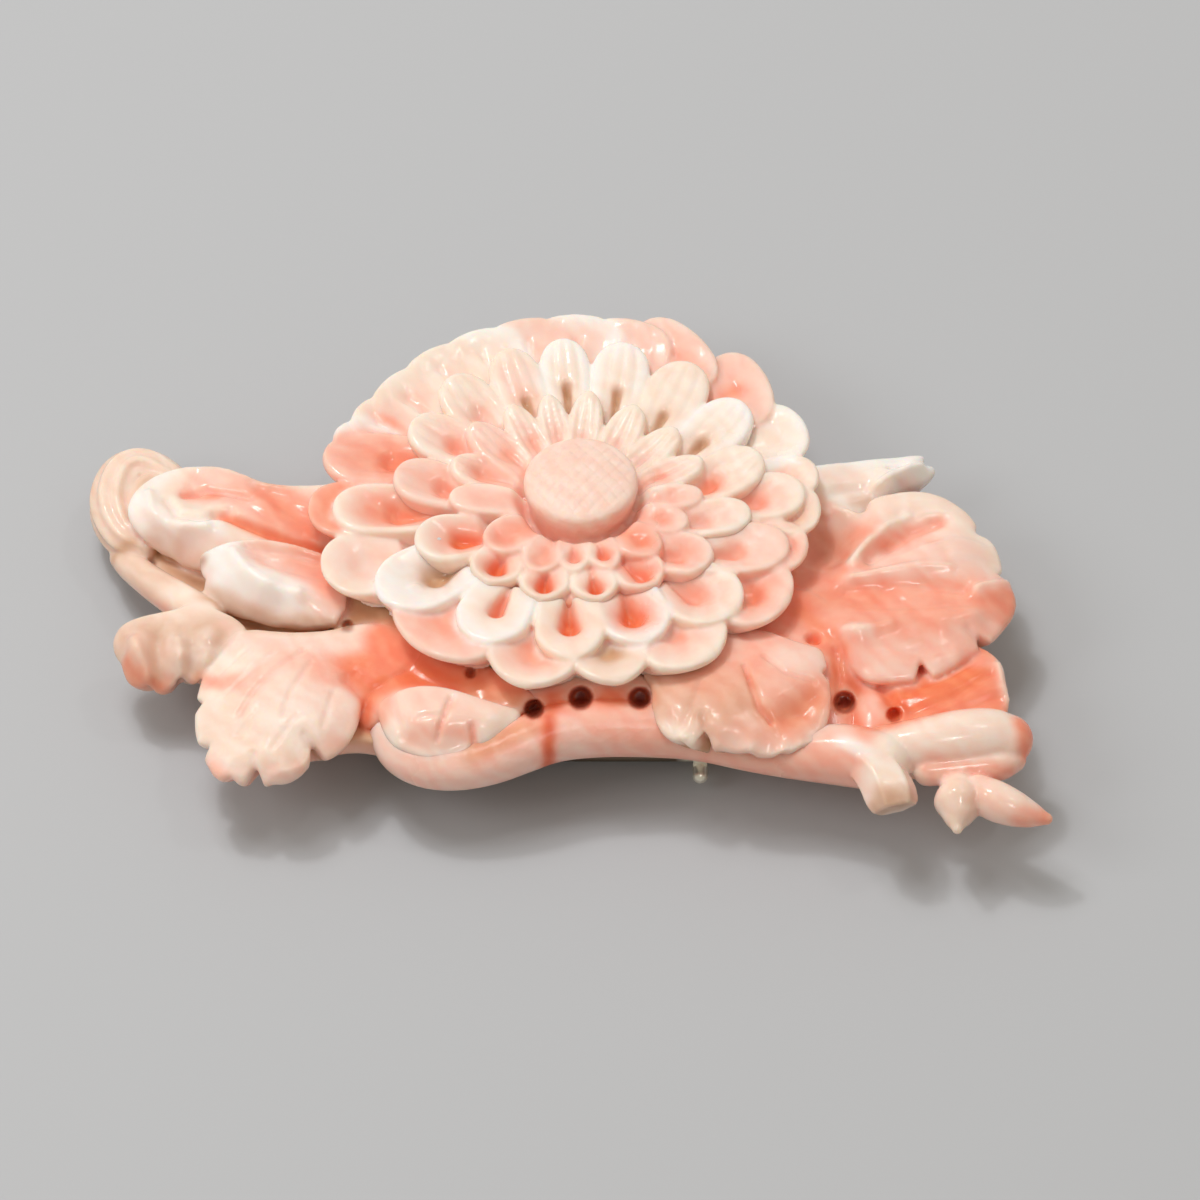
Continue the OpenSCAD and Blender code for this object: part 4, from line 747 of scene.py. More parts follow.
        (7.6, -19.7, 3.6), (8.6, -20.2, 3.5), (9.5, -20.3, 3.5), (10.2, -20.3, 3.5), (11.1, -20.4, 3.5),
        (12.2, -20.6, 3.4), (13.6, -20.8, 3.3), (15.1, -20.8, 3.3), (16.3, -20.6, 3.4), (17.3, -20.2, 3.5),
        (18.1, -19.9, 3.7), (18.7, -18.6, 4), (19.1, -17.2, 4.4), (19.1, -15.8, 4.7), (19, -14.6, 4.9),
        (18.8, -13.2, 5), (18.5, -11.9, 5.1), (17.5, -11.5, 5.1), (16.3, -11, 5.1), (14.4, -9.9, 5),
        (11.8, -9.8, 4.9), (8.9, -10.9, 4.8)],
        "notches": [
        (9.8, -20.3, 0.1, 1.25), (19, -14.2, -0.5, 0)],
        "inner": [
        (7.4, -17.5, 5), (9.6, -17.2, 5.2), (11.7, -16.5, 5.5), (14, -15.1, 5.6), (16.2, -13.8, 5.6),
        (17.8, -12.9, 5.4), (8.2, -20, 4.5), (9.2, -20.1, 4.3), (11.1, -19.8, 4.6), (9.6, -18.8, 4.8),
        (13.4, -20.7, 4.2), (15.5, -20.9, 4.1), (16.9, -20.2, 4.2), (12, -18.6, 5.1), (13, -17.1, 5.3),
        (15.1, -17.1, 5.4), (16.3, -16.2, 5.4), (17.5, -15.8, 5.2), (16.8, -17.7, 4.5), (18, -17.1, 4.8),
        (15.7, -18.7, 4.5), (18.4, -14.4, 5.2), (13.6, -18.7, 4.7)],
        "carve": [
        (0.45, 0.2, [(12.8, -13.9), (13.3, -16), (13.8, -17.6), (14.7, -18.6)]),
        (0.3, 0.25, [(9.8, -18.2), (9.9, -19.4)]), (0.35, 0.8, [(15.8, -18.1), (16.9, -17.5), (17.9, -16.4)]),
        (-0.25, 0.28, [(6.4, -18.4), (7.3, -19.5), (8.7, -20.4)]),
        (-0.25, 0.28, [(10.9, -20.3), (12.2, -20.7), (13.6, -21.1), (16.2, -20.9), (17.8, -19.9)]),
        (0.15, 0.2, [(9.6, -15.4), (8.9, -17.6), (8.2, -19.2)]), (0.15, 0.2, [(14.7, -18.6), (15.5, -19.6)]),
        (0.18, 0.18, [(14.2, -13), (15.8, -14.8), (17.8, -15.3)])],
        "paint": [
        ("shell", 0.9, 2.08, [(7.3, -18.4), (9.6, -18.7)]),
        # wide tan stroke: painted shade from the flower above
        ("tan", 0.45, 3.38, [(7.4, -16.1), (11.1, -17.3)]),
        ("salmon", 0.4, 2.08, [(10.7, -15.4), (13.3, -13.7)]),
        ("cream", 0.8, 1.04, [(7.3, -19.5), (9, -20.3)]), ("blush", 0.7, 1.3, [(12.5, -19.8), (14.7, -20.1)]),
        ("coral", 0.7, 1.56, [(15.6, -18.2), (16.8, -17.4), (17.9, -16.2)]),
        ("orange", 0.45, 0.66, [(15.8, -18.3), (16.9, -17.4), (17.8, -16.4)]),
        ("shell", 0.8, 1.3, [(15.8, -13.3), (17.8, -13.6)]),
        ("blush", 0.6, 1.04, [(14.7, -16.5), (16.2, -15.5)]),
        ("shell", 0.9, 0.55, [(11.7, -20.5), (14.7, -21), (16.9, -20.5), (18.1, -19.5)]),
        ("coral", 0.6, 0.28, [(13, -14.7), (13.8, -17.6), (14.6, -18.5)]),
        ("tan", 0.4, 0.55, [(6.3, -15.9), (6.1, -16.9)]),
        # wide tan stroke: painted shade from the flower above
        ("tan", 0.16, 3.12, [(11.4, -17.4), (14, -18.1), (16.9, -18.1)])]},
    "lowRight": {"base": "coral", "middle": (26.1, -15.5), "outline": [
        (20.3, -12.3, 2.8), (21.5, -11.8, 2.7), (22.8, -11.5, 2.6), (26, -10.9, 2.4), (27.9, -9.8, 2.5),
        (29.7, -9.4, 2.8), (30.9, -10.6, 3.2), (31.7, -12, 3.4), (31.9, -13.9, 3.3), (32.2, -15.5, 2.9),
        (31.6, -16.5, 2.7), (28.9, -17, 2.6), (26.8, -17.5, 2.5), (24.6, -18.1, 2.4), (23.2, -18.9, 2.2),
        (21.5, -18.6, 2.2), (20.4, -16.9, 2.2), (19.7, -15.2, 2.4), (19.7, -13.4, 2.6)],
        "inner": [
        (22.8, -14, 2.8), (24.6, -14.4, 3.2), (26.8, -14.6, 3.4), (28.8, -13.8, 3.6), (30.5, -13.1, 3.7),
        (31.3, -14.6, 3.6), (30.5, -15.6, 3.2), (24.6, -15.5, 2.8), (26.1, -16.4, 3), (21.9, -16, 3),
        (21.2, -13.9, 2.6), (27.9, -15.9, 3.2)],
        "carve": [
        (0.22, 0.35, [(25.1, -16.2), (27.8, -15.2), (30.8, -13)]),
        (0.18, 0.35, [(26.4, -17.1), (29, -16), (31.7, -14.9)]),
        (-0.3, 0.3, [(31.3, -12.1), (31.6, -13.8), (32, -15.4)]),
        (0.18, 0.4, [(24.6, -14.4), (27.2, -13.3), (29.4, -11.8)]), (0.4, 0.4, [(21, -12.9), (20.6, -14.8)]),
        (0.4, 0.45, [(22.8, -13.6), (23.5, -15.1)])],
        "paint": [
        ("orange", 0.8, 1.56, [(24.3, -14.5), (26.4, -14.3), (29, -13.3)]),
        ("salmon", 0.8, 0.77, [(29.7, -11.6), (30.8, -11.7)]),
        ("shell", 0.9, 0.5, [(31.6, -12), (31.8, -14), (32.2, -15.4)]),
        ("blush", 0.9, 0.77, [(21.9, -14.9), (22.1, -16.6)]),
        ("deep", 0.6, 0.55, [(20.6, -13.8), (20.3, -15.3)]),
        ("orange", 0.8, 1.04, [(22.1, -12.6), (24.3, -13.7)]),
        ("deep", 0.7, 0.39, [(23.5, -16.2), (24.6, -15.8)])]},
    "saddleRight": {"base": "salmon", "middle": (18, -12), "outline": [
        (10.7, -11.7, 4), (12.2, -7.2, 4), (14.4, -5.3, 4), (16.9, -4.9, 4.1), (19.1, -6.7, 4.5),
        (20.3, -10.5, 4.3), (21.3, -12.1, 3), (21.8, -13.7, 2.4), (21.8, -17.6, 1.8), (17.8, -18.2, 2.4),
        (16.9, -14.6, 3.4), (14, -14, 3.8)],
        "inner": [
        (16.9, -10.6, 4.5), (18.8, -10.6, 4.5), (19.3, -12.7, 4.1), (19.1, -14.7, 3.5), (15.5, -12.4, 4.3)],
        "carve": [
        (0.9, 0.35, [(17.7, -10.4), (18, -10.5)]), (0.3, 0.3, [(19.4, -11.4), (19.7, -13.4), (19.6, -15.3)])],
        "paint": [
        ("blush", 0.6, 1.3, [(15.8, -11.6), (17.3, -10.7)]),
        ("coral", 0.8, 1.17, [(18.4, -10.7), (19.7, -12.2)]),
        ("orange", 0.7, 1.04, [(19.5, -13.4), (19.3, -15.4)]), ("orange", 0.8, 0.44, [(17.8, -10.5)])]},
}


def cutOutline(leaf):
    # the outline drawn round; each notch moves the points near its place by its shift, less with distance
    outline = evenly(cutCorners(np.array(leaf["outline"], float)[:, :2], 1, True), leafEdge["step"], True)
    for x, y, dx, dy in leaf.get("notches", []):
        near = np.clip(1 - np.hypot(outline[:, 0] - x, outline[:, 1] - y) / leafEdge["notch"], 0, 1)[:, None]
        outline = outline + near * np.array([dx, dy])
    return outline


def leafSolid(leaf):
    # skin spread from a middle point to the notched outline: smooth height, less the carved lines, less a
    # quarter ellipse over the lip; under the edge the stone goes down in steps that are cut back towards the
    # middle
    outline = cutOutline(leaf)
    height = heightField(leaf["outline"] + leaf["inner"])
    middle = np.array([leaf["middle"]], float)
    t = (1 - (1 - np.linspace(0.02, 1, leafEdge["rings"])) ** 1.5)[:, None, None]
    plan = middle + (outline - middle) * t
    x, y = plan[..., 0], plan[..., 1]
    edge = np.min(np.hypot(x[..., None] - outline[:, 0], y[..., None] - outline[:, 1]), -1)
    over = np.clip(1 - edge / leafEdge["lip"], 0, 1)
    z = height(x, y) - leafEdge["roll"] * (1 - np.sqrt(1 - over ** 2))
    for depth, width, line in leaf["carve"]:
        z -= depth * np.exp(-(lineDistance(x, y, line) / width) ** 2)
    reach = np.maximum(np.linalg.norm(outline - middle, axis=1), 0.5)[:, None]
    rings = [np.concatenate([plan, z[..., None]], -1)]
    for inset, depth in leafEdge["undercut"]:
        low = middle + (outline - middle) * np.clip(1 - inset / reach, 0.1, 1)
        rings.append(np.concatenate([low, np.maximum(z[-1] - depth, 0)[:, None]], 1)[None])
    return loft(np.concatenate(rings)[::-1])


# Flat sheets of stone under the leaves: share of the outline and height of each ring, from the bottom, which
# is just clear of the flower's flat back, to the top
sheetRings = [
    (0.02, 0.09), (0.5, 0.09), (0.97, 0.09), (0.99, 0.2), (1, 0.5), (1, 1.2), (0.99, 1.65), (0.97, 1.8),
    (0.5, 1.8), (0.02, 1.8)]


def sheetSolid(outline):
    # the outline drawn round and carried up through its rings
    outline = evenly(cutCorners(np.array(outline, float), 2, True), 0.4, True)
    middle = outline.mean(0)
    level = np.ones((len(outline), 1))
    return loft(np.array([np.concatenate([middle + (outline - middle) * share, level * z], 1)
                          for share, z in sheetRings]))


# Which leaves and stems each side is made of, over which sheet
leafSides = {
    "leaves_left": {
        "leaves": ["saddleLeft", "farLeft", "lobedLeft", "veinedLeft", "curledLeft", "frontLeft"],
        "stems": ["curl", "curlHeart", "curlStem"],
        "sheet": [
            (-12, 4.5), (-20, 3.4), (-28, 5), (-30.6, 3.4), (-30.8, 0.4), (-29.6, -2.4), (-28.2, -5),
            (-31, -8), (-31, -10), (-25.5, -11.5), (-25, -14), (-25, -18.6), (-20, -19.4), (-15.5, -17.6),
            (-12, -19), (-6, -17.5), (-4, -12)]},
    "leaves_right": {
        "leaves": ["saddleRight", "farRight", "lowRight", "broadRight", "frontRight"],
        "stems": [],
        "sheet": [
            (12, 6), (17.5, 6), (20.6, 5.2), (22.4, 3.4), (24.5, 2.1), (28, 1.3), (31, -3), (31, -7),
            (27, -11), (30.5, -12.5), (30, -15), (30.5, -18), (28, -20.5), (22, -20.5), (18, -18),
            (10, -16.4), (4, -14)]},
}

# Stems, from end to end: x, y, height of the middle, radius
stems = {
    "arch": [
        (-12.9, -17.1, 1.3, 1.6), (-12.2, -18.6, 1.1, 1.7), (-10.5, -19.7, 1.1, 1.8), (-8.3, -20, 1.1, 1.8),
        (-5.7, -19.5, 1.4, 1.9), (-3.5, -18.7, 1.9, 2), (-1, -17.5, 2.2, 2.15), (2.3, -17.1, 2.3, 2.2),
        (6, -17.1, 2.1, 2.1), (9.6, -17.5, 1.6, 1.7), (13.3, -18.6, 1.4, 1.6), (16.9, -19.3, 1.8, 1.95),
        (20.2, -19.6, 2.1, 2.35), (22.8, -20.4, 2.2, 2.2)],
    "band": [
        (22.2, -19.2, 2.2, 1.6), (24.3, -19.2, 2.4, 1.9), (26.8, -18.9, 2.6, 2.1), (29, -18.5, 2.6, 2.2),
        (30.8, -18.2, 2.4, 2.15), (31.9, -18.3, 2.2, 1.9)],
    "lowBand": [
        (26.1, -20.9, 1.7, 1.1), (29, -20.5, 1.7, 1.2), (31.2, -20.2, 1.6, 1.3), (32.2, -19.6, 1.6, 1.1)],
    "knob": [
        (20.4, -19.9, 2.7, 1.3), (21.8, -21, 2.6, 1.75), (22.9, -22.3, 2.3, 2), (23.5, -23.6, 1.8, 2.05),
        (23.7, -24.3, 1.4, 1.7)],
    "bridge": [
        (-4.4, -15.5, 1.6, 1.8), (-2.1, -15.1, 2.2, 2), (1.6, -14.6, 2.4, 2.2), (6, -14.8, 2.4, 2.1),
        (8.9, -15.3, 1.8, 1.8)],
    "middleBud": [
        (28.3, -22.4, 1.3, 1.4), (28.3, -23.2, 1.3, 1.8), (28.3, -23.7, 1.2, 1.8), (28.3, -24.4, 1.1, 1.42),
        (28.2, -25.1, 0.95, 0.95), (28.2, -25.7, 0.85, 0.42)],
    "endBud": [
        (29.8, -22.7, 1.5, 1.3), (30.8, -23.5, 1.5, 1.55), (32.2, -24.2, 1.4, 1.4), (33.6, -24.6, 1.1, 1),
        (34.7, -24.8, 0.9, 0.45)],
    "curl": [
        (-28.7, 6.2, 2.6, 1.2), (-30, 7.2, 2.7, 1.45), (-31.3, 7.9, 2.7, 1.6), (-32.6, 7.4, 2.7, 1.7),
        (-33.3, 5.9, 2.5, 1.75), (-33.5, 4.3, 2.3, 1.75), (-33.2, 2.8, 2.1, 1.6), (-32.5, 1.4, 2, 1.45),
        (-31.4, 0.8, 1.9, 1.3)],
    "curlHeart": [
        (-29.3, 5.4, 2.6, 1.2), (-30.6, 5.7, 2.8, 1.5), (-31.3, 4.3, 2.7, 1.5), (-31.3, 2.9, 2.4, 1.3)],
    "curlStem": [
        (-32.8, 0.5, 1.1, 0.9), (-32.1, -0.7, 1.5, 1.1), (-30.2, -3, 1.9, 1.25), (-28.4, -4.7, 2.1, 1.4),
        (-26.6, -6.4, 2.2, 1.5)],
}

# Strokes over the branch: tone, share, width, places
branchPaint = [
    ("blush", 0.8, 1.6, [(-10.9, -20.7), (-3.5, -19), (2.3, -17.1)]),
    # coral and tan along the arch under the front-left leaf are painted shade
    ("coral", 0.8, 0.9, [(-6.6, -20), (-4.3, -19), (-1.7, -17.8)]),
    ("tan", 0.5, 0.8, [(-7.2, -20.3), (-5, -19.5), (-2.8, -18.6)]),
    ("blush", 0.7, 1.4, [(6, -17.1), (13.3, -19.2), (19.1, -20.4)]),
    ("orange", 0.9, 1, [(-3.9, -16.6), (-0.6, -16.1), (5.2, -16.1)]),
    ("deep", 0.4, 0.6, [(-1.7, -16.7), (0.5, -17.3)]), ("orange", 1, 0.5, [(-1.5, -16.8), (-1.4, -20.8)]),
    ("deep", 0.75, 0.36, [(-1.5, -16.8), (-1.4, -20.8)]), ("deep", 0.5, 0.55, [(-1.4, -19)]),
    ("salmon", 0.7, 1.2, [(2.3, -18.3), (14, -20.3), (20.6, -21.8)]),
    ("salmon", 0.8, 1, [(20.6, -17.7), (21.7, -19.5)]),
    ("coral", 0.95, 0.9, [(21.7, -18.3), (24.6, -18.3), (26.8, -17.3)]),
    ("cream", 1, 1.7, [(23.9, -20.7), (26.8, -19.5), (31.6, -18.9)]),
    ("shell", 0.4, 1.2, [(25.3, -20.5), (28.6, -20), (31.6, -19.5)]),
    # white along the knob's ridge is a painted highlight
    ("white", 0.9, 0.5, [(19.7, -20.2), (21.6, -21.1), (23.2, -22.3), (24.3, -23.9)]),
    ("salmon", 0.8, 0.6, [(26.1, -21.4), (29.4, -21.4), (32.3, -21.2)]),
    ("coral", 1, 1, [(33.2, -18), (33.6, -19.6)]), ("cream", 1, 1.5, [(22.8, -22.6), (23.4, -24.6)]),
    # tan at the knob's end is painted shade on its lower facet
    ("tan", 0.7, 1.2, [(22.8, -25), (24.6, -25)]), ("cream", 1, 1.9, [(28.3, -23.7), (28.1, -26.1)]),
    ("shell", 1, 1.5, [(30.5, -23.7), (32.3, -24.7)]), ("tan", 0.2, 1.5, [(30.5, -23.7), (32.3, -24.7)]),
    ("cream", 0.7, 0.6, [(30.8, -23.2), (32.4, -24.3)]), ("tan", 0.3, 1.6, [(28.3, -24.2), (28.1, -26.2)]),
    ("coral", 0.95, 0.9, [(34.9, -24.9)]), ("coral", 0.5, 0.6, [(32.7, -25.7), (34.5, -25.2)])]

# Sections of the stems that differ from a plain round one of 32 sides
sections = {
    "arch": {"sides": 40}, "band": {"sides": 40}, "knob": {"sides": 6, "domed": False},
    "curl": {"sides": 90, "flutes": 9, "fluteDepth": 0.07}, "curlHeart": {"sides": 28},
    "curlStem": {"sides": 28}}

# Strokes over the curl and its stem
curlLine = [row[:2] for row in stems["curl"]]
curlPaint = [
    ("cream", 1, 1.9, curlLine), ("tan", 0.22, 1.9, curlLine),
    ("cream", 1, 1.6, [(-33, -0.3), (-30, -3), (-28.3, -4.9)]), ("tan", 0.4, 1.6, [(-33, -0.3), (-30, -3)]),
    ("tan", 0.7, 0.35, [(-33.8, -0.2), (-31.5, 0.4)]),
    # the tan and umber strokes in the gap between the stem and the far leaf are painted shade
    ("salmon", 0.7, 0.6, [(-31.7, -4.2), (-29.7, -6)]), ("tan", 1, 0.9, [(-29.6, 0), (-27.4, -2)]),
    ("umber", 0.7, 0.6, [(-28.4, -1), (-27, -2.4)])]

# Drilled holes: x, y, height of the mouth, radius, depth, tone painted as shade inside
holes = [
    (-7.1, -13.4, 4, 0.4, 0.8, "umber"), (-2.5, -16.9, 4, 0.7, 1.8, "ember"),
    (0.9, -16.1, 4.3, 0.85, 2.2, "ember"), (5.2, -16.1, 4.3, 0.8, 2, "ember"),
    (20.1, -15.2, 2.8, 0.8, 1.5, "ember"), (23.7, -16.5, 2.9, 0.55, 1.3, "deep"),
    (-16.1, -8.8, 4, 0.45, 0.6, "umber")]
# How far they lean to the front in degrees, how near the mouth a point is for its hole, and shares of the tone
# painted as shade inside and of the rim
drilling = {"tilt": 42, "near": 2.6, "dark": 0.9, "rim": 0.6}


def rodSolid(rows, sides=32, flutes=0, fluteDepth=0.0, domed=True):
    # round section, fluted by a cosine, carried along a smoothed path of places and radii, with a dome at
    # each end
    path = evenly(cutCorners(np.array(rows, float), 3, False), 0.25, False)
    head = np.gradient(path[:, :3], axis=0)
    head /= np.linalg.norm(head, axis=1)[:, None]
    if domed:
        e, firstR, lastR = np.linspace(math.pi / 2 * 0.97, 0.12, 8)[:, None], path[0, 3], path[-1, 3]
        first = np.concatenate([path[:1, :3] - head[:1] * firstR * np.sin(e), firstR * np.cos(e)], 1)
        e = e[::-1]
        last = np.concatenate([path[-1:, :3] + head[-1:] * lastR * np.sin(e), lastR * np.cos(e)], 1)
        path = np.concatenate([first, path, last])
        head = np.concatenate([np.tile(head[:1], (len(e), 1)), head, np.tile(head[-1:], (len(e), 1))])
    across = np.stack([-head[:, 1], head[:, 0], np.zeros(len(head))], 1)
    across /= np.linalg.norm(across, axis=1)[:, None]
    up = np.cross(head, across)
    a = np.linspace(0, 2 * math.pi, sides, endpoint=False)[None, :, None]
    r = path[:, None, 3:4] * (1 + fluteDepth * np.cos(flutes * a))
    rings = path[:, None, :3] + r * (np.cos(a) * across[:, None] + np.sin(a) * up[:, None])
    rings[..., 2] = np.maximum(rings[..., 2], 0)
    return loft(rings)


def stemSolids(names):
    # the rods of the named stems, each with its own section
    return [rodSolid(stems[name], **sections.get(name, {})) for name in names]


def drill(p, colours):
    # points within a hole's radius of its axis sink along it by its depth and take its tone as painted shade;
    # an ember hole has a coral rim
    lean = math.radians(drilling["tilt"])
    axis = np.array([0, -math.sin(lean), math.cos(lean)])
    p = p.copy()
    for x, y, z, radius, depth, name in holes:
        gap = p - np.array([x, y, z])
        along = gap @ axis
        off = np.linalg.norm(gap - along[:, None] * axis, axis=1)
        near = np.abs(along) < drilling["near"]
        sink = (1 - ease(0.6 * radius, 1.15 * radius, off)) * near
        if name == "ember":
            colours = tint(colours, "coral", drilling["rim"] * (1 - ease(radius, 1.8 * radius, off)) * near)
        colours = tint(colours, name, drilling["dark"] * sink)
        p -= axis * (depth * sink)[:, None]
    return p, colours


def strokes(p, colours, paint):
    # each stroke has its full share within 0.4 of its width and fades to none at 1.5 times its width
    for name, share, width, line in paint:
        off = lineDistance(p[:, 0], p[:, 1], line)
        colours = tint(colours, name, share * (1 - ease(0.4 * width, 1.5 * width, off)))
    return colours


def insideOf(p, outline):
    # distance to a closed outline, positive where a line to the right crosses it an odd number of times
    loop = evenly(np.array(outline, float)[:, :2], 0.25, True)
    after = np.roll(loop, -1, 0)
    x, y = p[:, :1], p[:, 1:2]
    rise = np.where(after[:, 1] == loop[:, 1], 1e-9, after[:, 1] - loop[:, 1])
    spans = (loop[:, 1] > y) != (after[:, 1] > y)
    crosses = spans & (x < loop[:, 0] + (y - loop[:, 1]) / rise * (after[:, 0] - loop[:, 0]))
    return np.where(crosses.sum(1) % 2 == 1, 1, -1) * np.min(np.hypot(x - loop[:, 0], y - loop[:, 1]), 1)


# Painted shade and highlight: rounds that measure fine and wide hollows, rounds and pull that soften the
# paint, and the shares of orange painted as shade in the crevices and of cream painted as highlight on the
# edges
wearShadeAndSheen = {"fine": 4, "wide": 60, "soften": 10, "pull": 0.6, "creviceShade": 0.7, "edge": 0.22}


def finishPiece(name, mesh, p, edges, colours, matt):
    # crevices take the orange tone as painted shade, edges the cream one as painted highlight; then the piece
    # is laid on the table and joined to the frame
    fine, wide = hollowness(mesh, p, edges, wearShadeAndSheen["fine"]), hollowness(mesh, p, edges, wearShadeAndSheen["wide"])
    colours = relax(colours, edges, wearShadeAndSheen["soften"], wearShadeAndSheen["pull"])
    # painted shade: orange in the fine hollows that lie in wider ones
    colours = tint(colours, "orange", wearShadeAndSheen["creviceShade"] * ease(0.02, 0.14, fine) * ease(0.0, 0.25, wide))
    # painted highlight: cream on the convex edges
    colours = tint(colours, "cream", wearShadeAndSheen["edge"] * ease(0.05, 0.35, -wide))
    mesh.vertices.foreach_set("co", onTable(p).astype(np.float32).ravel())
    layer = mesh.color_attributes.new("stone", "FLOAT_COLOR", "POINT")
    opaque = np.concatenate([colours, np.ones((len(p), 1))], 1)
    layer.data.foreach_set("color", opaque.astype(np.float32).ravel())
    dull = mesh.attributes.new("matt", "FLOAT", "POINT")
    dull.data.foreach_set("value", matt.astype(np.float32))
    mesh.polygons.foreach_set("use_smooth", np.ones(len(mesh.polygons), bool))
    mesh.materials.clear()
    mesh.materials.append(coral)
    mesh.update()
    piece = bpy.data.objects.new(name, mesh)
    bpy.context.scene.collection.objects.link(piece)
    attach(piece, "root")
    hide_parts("coral_carving")
    print(name, len(mesh.polygons) * 2, "triangles")


def shaderTree(name):
    # a new material with its node tree and its main shader
    material = bpy.data.materials.new(name)
    material.use_nodes = True
    return material, material.node_tree, material.node_tree.nodes["Principled BSDF"]


def node(tree, kind, **values):
    # one shader node with its sockets and settings filled in
    made = tree.nodes.new(kind)
    for key, value in values.items():
        if key in made.inputs:
            made.inputs[key].default_value = value
        else:
            setattr(made, key, value)
    return made


def pattern(tree, kind, **values):
    # a node whose pattern lies on the piece's own Object coordinates
    made = node(tree, kind, **values)
    tree.links.new(node(tree, "ShaderNodeTexCoord").outputs["Object"], made.inputs["Vector"])
    return made


def softLayer(tree, below, above, share):
    # one colour over another in soft light, by a share
    made = node(tree, "ShaderNodeMix", data_type="RGBA", blend_type="SOFT_LIGHT")
    made.inputs[0].default_value = share
    tree.links.new(below, made.inputs[6])
    tree.links.new(above, made.inputs[7])
    return made.outputs[2]


def ranged(tree, source, before, after):
    # a value carried from one range to another
    made = node(tree, "ShaderNodeMapRange")
    tree.links.new(source, made.inputs[0])
    for place, value in enumerate((*before, *after), 1):
        made.inputs[place].default_value = value
    return made.outputs[0]


def bumped(tree, height, strength, distance, under=None):
    # a bump from a height, over another bump where there is one
    made = node(tree, "ShaderNodeBump", Strength=strength, Distance=distance)
    tree.links.new(height, made.inputs["Height"])
    if under:
        tree.links.new(under, made.inputs["Normal"])
    return made.outputs[0]


# Depth in metres that light goes into the stone; scale of each pattern with its share or strength; roughness
# where polished and where left matt
stone = {
    "ior": 1.5, "subsurface": 0.5, "reach": 0.0015, "reachByTone": (1, 0.48, 0.3), "clouds": 330,
    "cloudShare": 0.4, "bands": 260, "bandShare": 0.12, "polish": 900, "roughness": (0.12, 0.27),
    "mattRoughness": 0.45, "marks": 1500, "markStrength": 0.12, "stipple": 1700, "stippleStrength": 0.5,
    "bump": 0.0001}


def coralMaterial():
    # painted stone tone, which carries the painted shade and highlights, mottled by clouds and thin growth
    # bands; polish varies a little, tool marks as bump
    material, tree, shade = shaderTree("polishedCoral")
    link = tree.links.new
    shade.inputs["IOR"].default_value = stone["ior"]
    shade.inputs["Subsurface Weight"].default_value = stone["subsurface"]
    shade.inputs["Subsurface Radius"].default_value = stone["reachByTone"]
    shade.inputs["Subsurface Scale"].default_value = stone["reach"]
    painted = node(tree, "ShaderNodeAttribute", attribute_name="stone")
    matt = node(tree, "ShaderNodeAttribute", attribute_name="matt")
    clouds = pattern(tree, "ShaderNodeTexNoise", Scale=stone["clouds"], Detail=5, Roughness=0.62)
    mottled = softLayer(tree, painted.outputs["Color"], clouds.outputs["Fac"], stone["cloudShare"])
    # growth bands: thin wavy layers, a little paler
    bands = pattern(tree, "ShaderNodeTexWave", Scale=stone["bands"], Distortion=9, Detail=3)
    bands.bands_direction = "DIAGONAL"
    link(softLayer(tree, mottled, bands.outputs["Color"], stone["bandShare"]), shade.inputs["Base Color"])
    # polish: rougher where the carver left it matt
    polish = pattern(tree, "ShaderNodeTexNoise", Scale=stone["polish"], Detail=3)
    rough = node(tree, "ShaderNodeMix", data_type="FLOAT")
    rough.inputs[3].default_value = stone["mattRoughness"]
    link(matt.outputs["Fac"], rough.inputs[0])
    link(ranged(tree, polish.outputs["Fac"], (0, 1), stone["roughness"]), rough.inputs[2])
    link(rough.outputs[0], shade.inputs["Roughness"])
    # tool marks: faint everywhere, a fine stipple where matt
    marks = pattern(tree, "ShaderNodeTexNoise", Scale=stone["marks"], Detail=2)
    faint = bumped(tree, marks.outputs["Fac"], stone["markStrength"], stone["bump"])
    dots = pattern(tree, "ShaderNodeTexVoronoi", Scale=stone["stipple"])
    stipple = node(tree, "ShaderNodeMath", operation="MULTIPLY")
    link(dots.outputs["Distance"], stipple.inputs[0])
    link(matt.outputs["Fac"], stipple.inputs[1])
    dotted = bumped(tree, stipple.outputs[0], stone["stippleStrength"], stone["bump"], faint)
    link(dotted, shade.inputs["Normal"])
    return material


# Places and tones of the wear, roughness where worn and where not, the stretch across the pin over which it
# turns from bright to a dark painted shade, and the drawn lines' scale and bump
metal = {
    "metallic": 0.7, "clouds": 500, "wearShadeAndSheen": ((0.35, (0.8, 0.76, 0.62, 1)), (0.62, (0.93, 0.91, 0.82, 1))),
    "roughness": (0.42, 0.22), "barShade": (0.15, 0.115, 0.08, 1), "barShadeFrom": (0.0086, 0.0078),
    "lines": (300, 9000, 9000), "lineStrength": 0.15, "bump": 0.00005}


